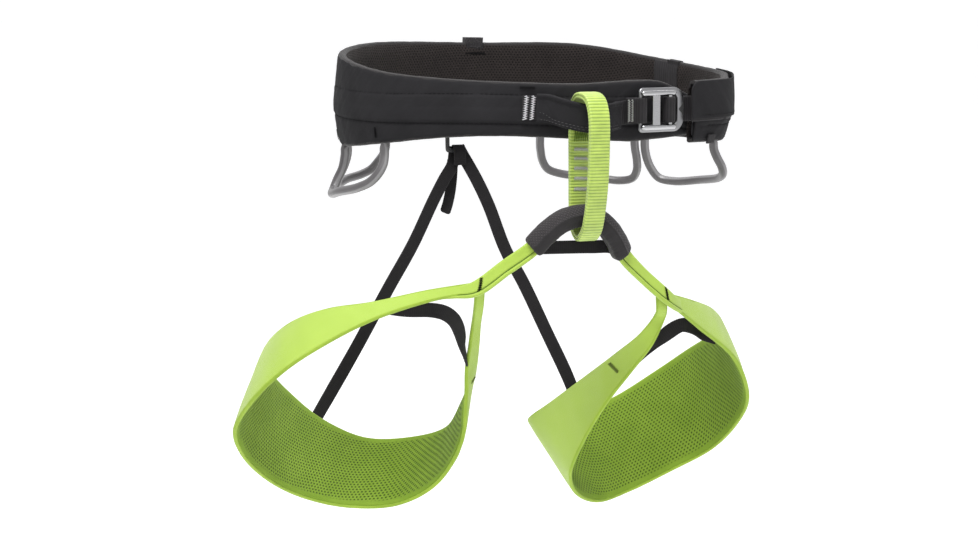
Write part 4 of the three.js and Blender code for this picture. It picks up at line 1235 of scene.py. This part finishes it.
def build_hook():
    x, z = HOOK_W / 2 - HOOK_BAR / 2, HOOK_H / 2 - HOOK_BAR / 2
    lip = HOOK_H / 2 - HOOK_BAR - 7
    y = HOOK_Y - HOOK_T / 2
    corners = np.array([(x, lip), (x, z), (-x, z), (-x, -z), (x + HOOK_BAR / 2, -z)])
    path = [corners[0]]
    for before, here, after in zip(corners, corners[1:], corners[2:]):
        back, on = unit(before - here), unit(after - here)
        path += [here + back * 1.3, here + back * 0.25 + on * 0.25, here + on * 1.3]
    path.append(corners[-1])
    ribbon = Ribbon([(px, y, HOOK_Z + pz) for px, pz in path], (0, 1, 0))
    piece("riser_hook_moulded", [ribbon.body(HOOK_T, HOOK_BAR, 0.4, across=4)], HOOK, "waist",
          ["riser_hook"])
    top = HOOK_Z + HOOK_H / 2
    near, far = y - 3.2, y + 3.2
    hanger = Ribbon([(0, 109.6, -6), (0, 109.6, -14), (0, 109.3, -20), (0, near, top - 3),
                     (0, y - 1.8, top - 6.2), (0, y, top - 6.8), (0, y + 1.8, top - 6.2), (0, far, top - 2),
                     (0, far - 0.6, top + 4), (0, 111.6, -12), (0, 111.2, -6)], (1, 0, 0))
    piece("hook_hanger_web", [hanger.body(8, 1.2, 0.4, ribs(1.7, 0.12))], BLACK_WEB, "waist",
          ["hook_hanger"])
    tack = lambda s, a, lift: np.stack([s - 4, 112.0 + lift, a - 10], axis=-1)
    piece("hanger_bartack", bartack(tack, 8, 2.4), DARK_THREAD, "waist")
    bar = HOOK_Z - HOOK_H / 2 + HOOK_BAR / 2
    yoke = Ribbon([(2, near, bar - 11), (2, near, bar - 1), (2, y - 1.6, bar + 3), (2, y, bar + 3.6),
                   (2, y + 1.6, bar + 3), (2, far, bar - 1), (2, far, bar - 11)], (1, 0, 0))
    piece("riser_yoke_elastic", [yoke.body(ELASTIC_W - 0.4, 1.2, 0.5, ribs(1.4, 0.07))], ELASTIC,
          "waist", ["riser_yoke"])


def build_risers():
    """Each riser is two lengths that overlap on its way."""
    for name, (points, sides) in RISERS.items():
        ribbon = Ribbon(points, sides)
        leg = name.replace("riser", "leg")
        length, meet = ribbon.length, 0.42 * ribbon.length
        parts = (("upper", 0, meet + 0.9, "waist", "legs", 18, 3),
                 ("lower", meet - 0.9, length, "legs", leg, 3, 22))
        for part, first, last, above, below, stiff_start, stiff_end in parts:
            body = ribbon.body(ELASTIC_W, 1.5, 0.9, ribs(1.4, 0.07), first=first, last=last)
            strap = piece(f"{name}_elastic_{part}", [body], ELASTIC, None, [name])
            start, end = ribbon.place([first + stiff_start, last - stiff_end], 0, 0)
            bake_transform(strap)
        face = ribbon.facing(length - 3)
        place = lambda s, a, lift: ribbon.place(length - 3.5 + a, s - 4, face * (0.7 + lift))
        piece(f"{name}_bartack", bartack(place, 8, 2.2), GREY_THREAD, leg)
    tail = Ribbon([(0, 120, -52), (0, 120.4, -62), (-2, 119, -76), (-5, 117, -86), (-8, 115.5, -93)],
                  [(1, 0, 0), (1, 0, 0.05), (1, 0, -0.15), (1, 0, -0.25), (1, 0, -0.25)])
    piece("riser_tail_elastic", [tail.body(8.5, 1.5, 0.5, ribs(1.4, 0.07), corner=2.2)], ELASTIC,
          "riser_tail", ["riser_tail"])


# --- Gear loops -------------------------------------------------------------------------------
GEAR_R = 3.2
GEAR_IN = 3.45                # how deep in the padding the tube's ends are
GEAR_TOP = GAP + GEAR_R
# Name, angle of the front and the rear end, and how far the tube hangs down at each.
GEAR_LOOPS = [
    ("front_right", -66.6, -105, 27, 35), ("rear_right", -113, -143, 32, 24),
    ("front_left", -280, -235.8, 27, 37), ("rear_left", -231.7, -199.1, 38, 31),
]
# Along a tube: share of the way from end to end, share of the drop, and distance outside the belt.
GEAR_PATH = [
    (0, 0, -GEAR_IN), (0, 0.1, -GEAR_IN), (-0.005, 0.24, -GEAR_IN + 0.6), (-0.015, 0.46, -0.8), (0, 0.7, 2.6),
    (0.06, 0.9, 5.3), (0.2, 1, 6.9), (0.5, 1, 8), (0.78, 1, 6.9), (0.91, 0.9, 5), (0.965, 0.68, 2.2),
    (0.99, 0.42, -1.6), (1, 0.2, -GEAR_IN + 0.4), (1, 0.1, -GEAR_IN), (1, 0, -GEAR_IN),
]
SOCKET = 3.2                  # how far the tube goes on up into the belt


def build_gear_loops():
    for name, front, rear, front_drop, rear_drop in GEAR_LOOPS:
        along, share, out = np.array(GEAR_PATH).T
        angle = front + (rear - front) * along
        drop = front_drop + (rear_drop - front_drop) * along
        points = on_belt(angle, out, edge_heights(angle)[1])
        points[:, 2] -= GEAR_TOP + (drop - GEAR_TOP) * share
        first, last = points[0], points[-1]
        upward = np.array([0, 0, GEAR_TOP + SOCKET])
        line = Curve([first + upward, *points, last + upward])

        def radius(t):
            sewn = 1 - ease(np.minimum(t, 1 - t) * line.length, SOCKET - 0.6, SOCKET + 4)
            return GEAR_R - 0.12 * np.sin(np.pi * t) - 0.95 * sewn

        body = tube(line.at(line.share(even(line.length, 1.2))), radius, 22)
        loop = piece(f"gear_tube_{name}", [body], GEAR, None, [f"gear_loop_{name}"])
        x, y, z = (first + last) / 2
        metres((x, y, z + 4))
        metres((x, y, z - 5))
        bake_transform(loop)


# --- The harness ------------------------------------------------------------------------------
place_camera()
build_studio()
MATT = {"specular_ior_level": 0.18}
BLACK_SHELL = fabric("shell_nylon", (0.0098, 0.0094, 0.0104), (0.018, 0.0174, 0.0192), (0.62, 0.55), 0.05,
                     roughness=0.78, sheen_weight=0, specular_ior_level=0.12)
# The bindings' nylon is a lighter copy of the shell's, a painted highlight along the belt's rolled edges.
RIM = fabric("rim_nylon_painted_highlight", (0.015, 0.0138, 0.0142), (0.027, 0.0248, 0.0252), (0.62, 0.55), 0.05,
             roughness=0.66, sheen_weight=0.12, sheen_roughness=0.4, **MATT)
FOAM = fabric("closed_cell_foam", (0.04, 0.04, 0.044), (0.06, 0.06, 0.066), (0.9, 0.9), 0.1, roughness=0.95)
# A spacer mesh's first colour is painted shade inside its holes.
LINER = spacer_mesh("belt_spacer_mesh", (0.0015, 0.0012, 0.0012), (0.0115, 0.009, 0.0085),
                    (0.024, 0.019, 0.0178), (2.5, 3.8), 0.62, 0.4, roughness=0.9, sheen_weight=0.03,
                    specular_ior_level=0.15)
# In the webbings and elastic, the dark colour is painted shade in the rib grooves and the light one a painted
# highlight on the crests.
BLACK_WEB = webbing("black_webbing", (0.004, 0.0035, 0.004), (0.018, 0.0165, 0.018), 1.9, 0.12,
                    worn=(0.06, 0.056, 0.06), roughness=0.7, sheen_weight=0.05, sheen_roughness=0.5, **MATT)
ELASTIC = webbing("black_elastic", (0.0035, 0.003, 0.0035), (0.0105, 0.0095, 0.0105), 1.4, 0.06,
                  worn=(0.03, 0.028, 0.03), roughness=0.8, sheen_weight=0.03, **MATT)
SLEEVE = embossed_sleeve()
LIME = fabric("lime_nylon", (0.25, 0.375, 0.029), (0.335, 0.475, 0.052), (0.7, 0.6), 0.05, blotch=0.02,
              roughness=0.5, sheen_weight=0.12, sheen_roughness=0.6, specular_ior_level=0.36)
LIME_HEM = fabric("lime_hem", (0.2, 0.31, 0.025), (0.32, 0.46, 0.05), (0.9, 0.6), 0.08,
                  roughness=0.62, sheen_weight=0.1, **MATT)
# Its first colour is painted shade inside the holes.
LIME_MESH = spacer_mesh("lime_spacer_mesh", (0.022, 0.045, 0.003), (0.14, 0.235, 0.018), (0.2, 0.31, 0.03),
                        (2.9, 4.6), 0.72, 0.45, margin=2.6, roughness=0.85, sheen_weight=0.04, **MATT)
# Its dark colour is painted shade in the rib grooves, its light one a painted highlight on the rib crests.
LIME_WEB = webbing("lime_webbing", (0.07, 0.14, 0.008), (0.4, 0.53, 0.08), RIB_PITCH, 0.08,
                   worn=(0.6, 0.72, 0.3), roughness=0.42, specular_ior_level=0.6, sheen_weight=0.25)
GEAR = tube_plastic()
BLASTED = metal("blasted_alloy", (0.3, 0.3, 0.31), 0.34, 3.0)
POLISHED = metal("polished_alloy", (0.46, 0.46, 0.47), 0.14, 1.2)
DARK_MARK = moulded("mark_fill", (0.012, 0.012, 0.012), (0.03, 0.03, 0.03))
HOOK = moulded("hook_plastic", (0.01, 0.01, 0.011), (0.02, 0.02, 0.022))
WHITE_THREAD = thread_of("white_thread", (0.4, 0.39, 0.41), (0.8, 0.79, 0.81))
GREY_THREAD = thread_of("grey_thread", (0.25, 0.26, 0.24), (0.55, 0.56, 0.52))
SEAM_THREAD = thread_of("seam_thread", (0.03, 0.03, 0.031), (0.075, 0.073, 0.074))
GREEN_THREAD = thread_of("green_thread", (0.05, 0.1, 0.006), (0.12, 0.2, 0.015))
OLIVE_THREAD = thread_of("olive_thread", (0.07, 0.1, 0.012), (0.14, 0.19, 0.03))
DARK_THREAD = thread_of("dark_thread", (0.003, 0.003, 0.0033), (0.008, 0.0077, 0.0083), gloss=0.05)

build_belt()
build_belt_end()
build_belt_trim()
build_belt_stitching()
build_tie_in()
build_buckle()
build_belay_loop()
build_bridge_sleeve()
build_bridge_webbing()
right_tack = build_leg("right", RIGHT_LEG, 1, (2.6, 13.4), 0.3, 14.3, 9)
left_tack = build_leg("left", LEFT_LEG, -1, (1.6, 13.4), 1.9, 12.7, 13)
piece("leg_right_sewn_points", right_tack, OLIVE_THREAD, "leg_right")
piece("leg_left_sewn_points", left_tack, OLIVE_THREAD, "leg_left")
build_leg_elastics()
build_hook()
build_risers()
build_gear_loops()
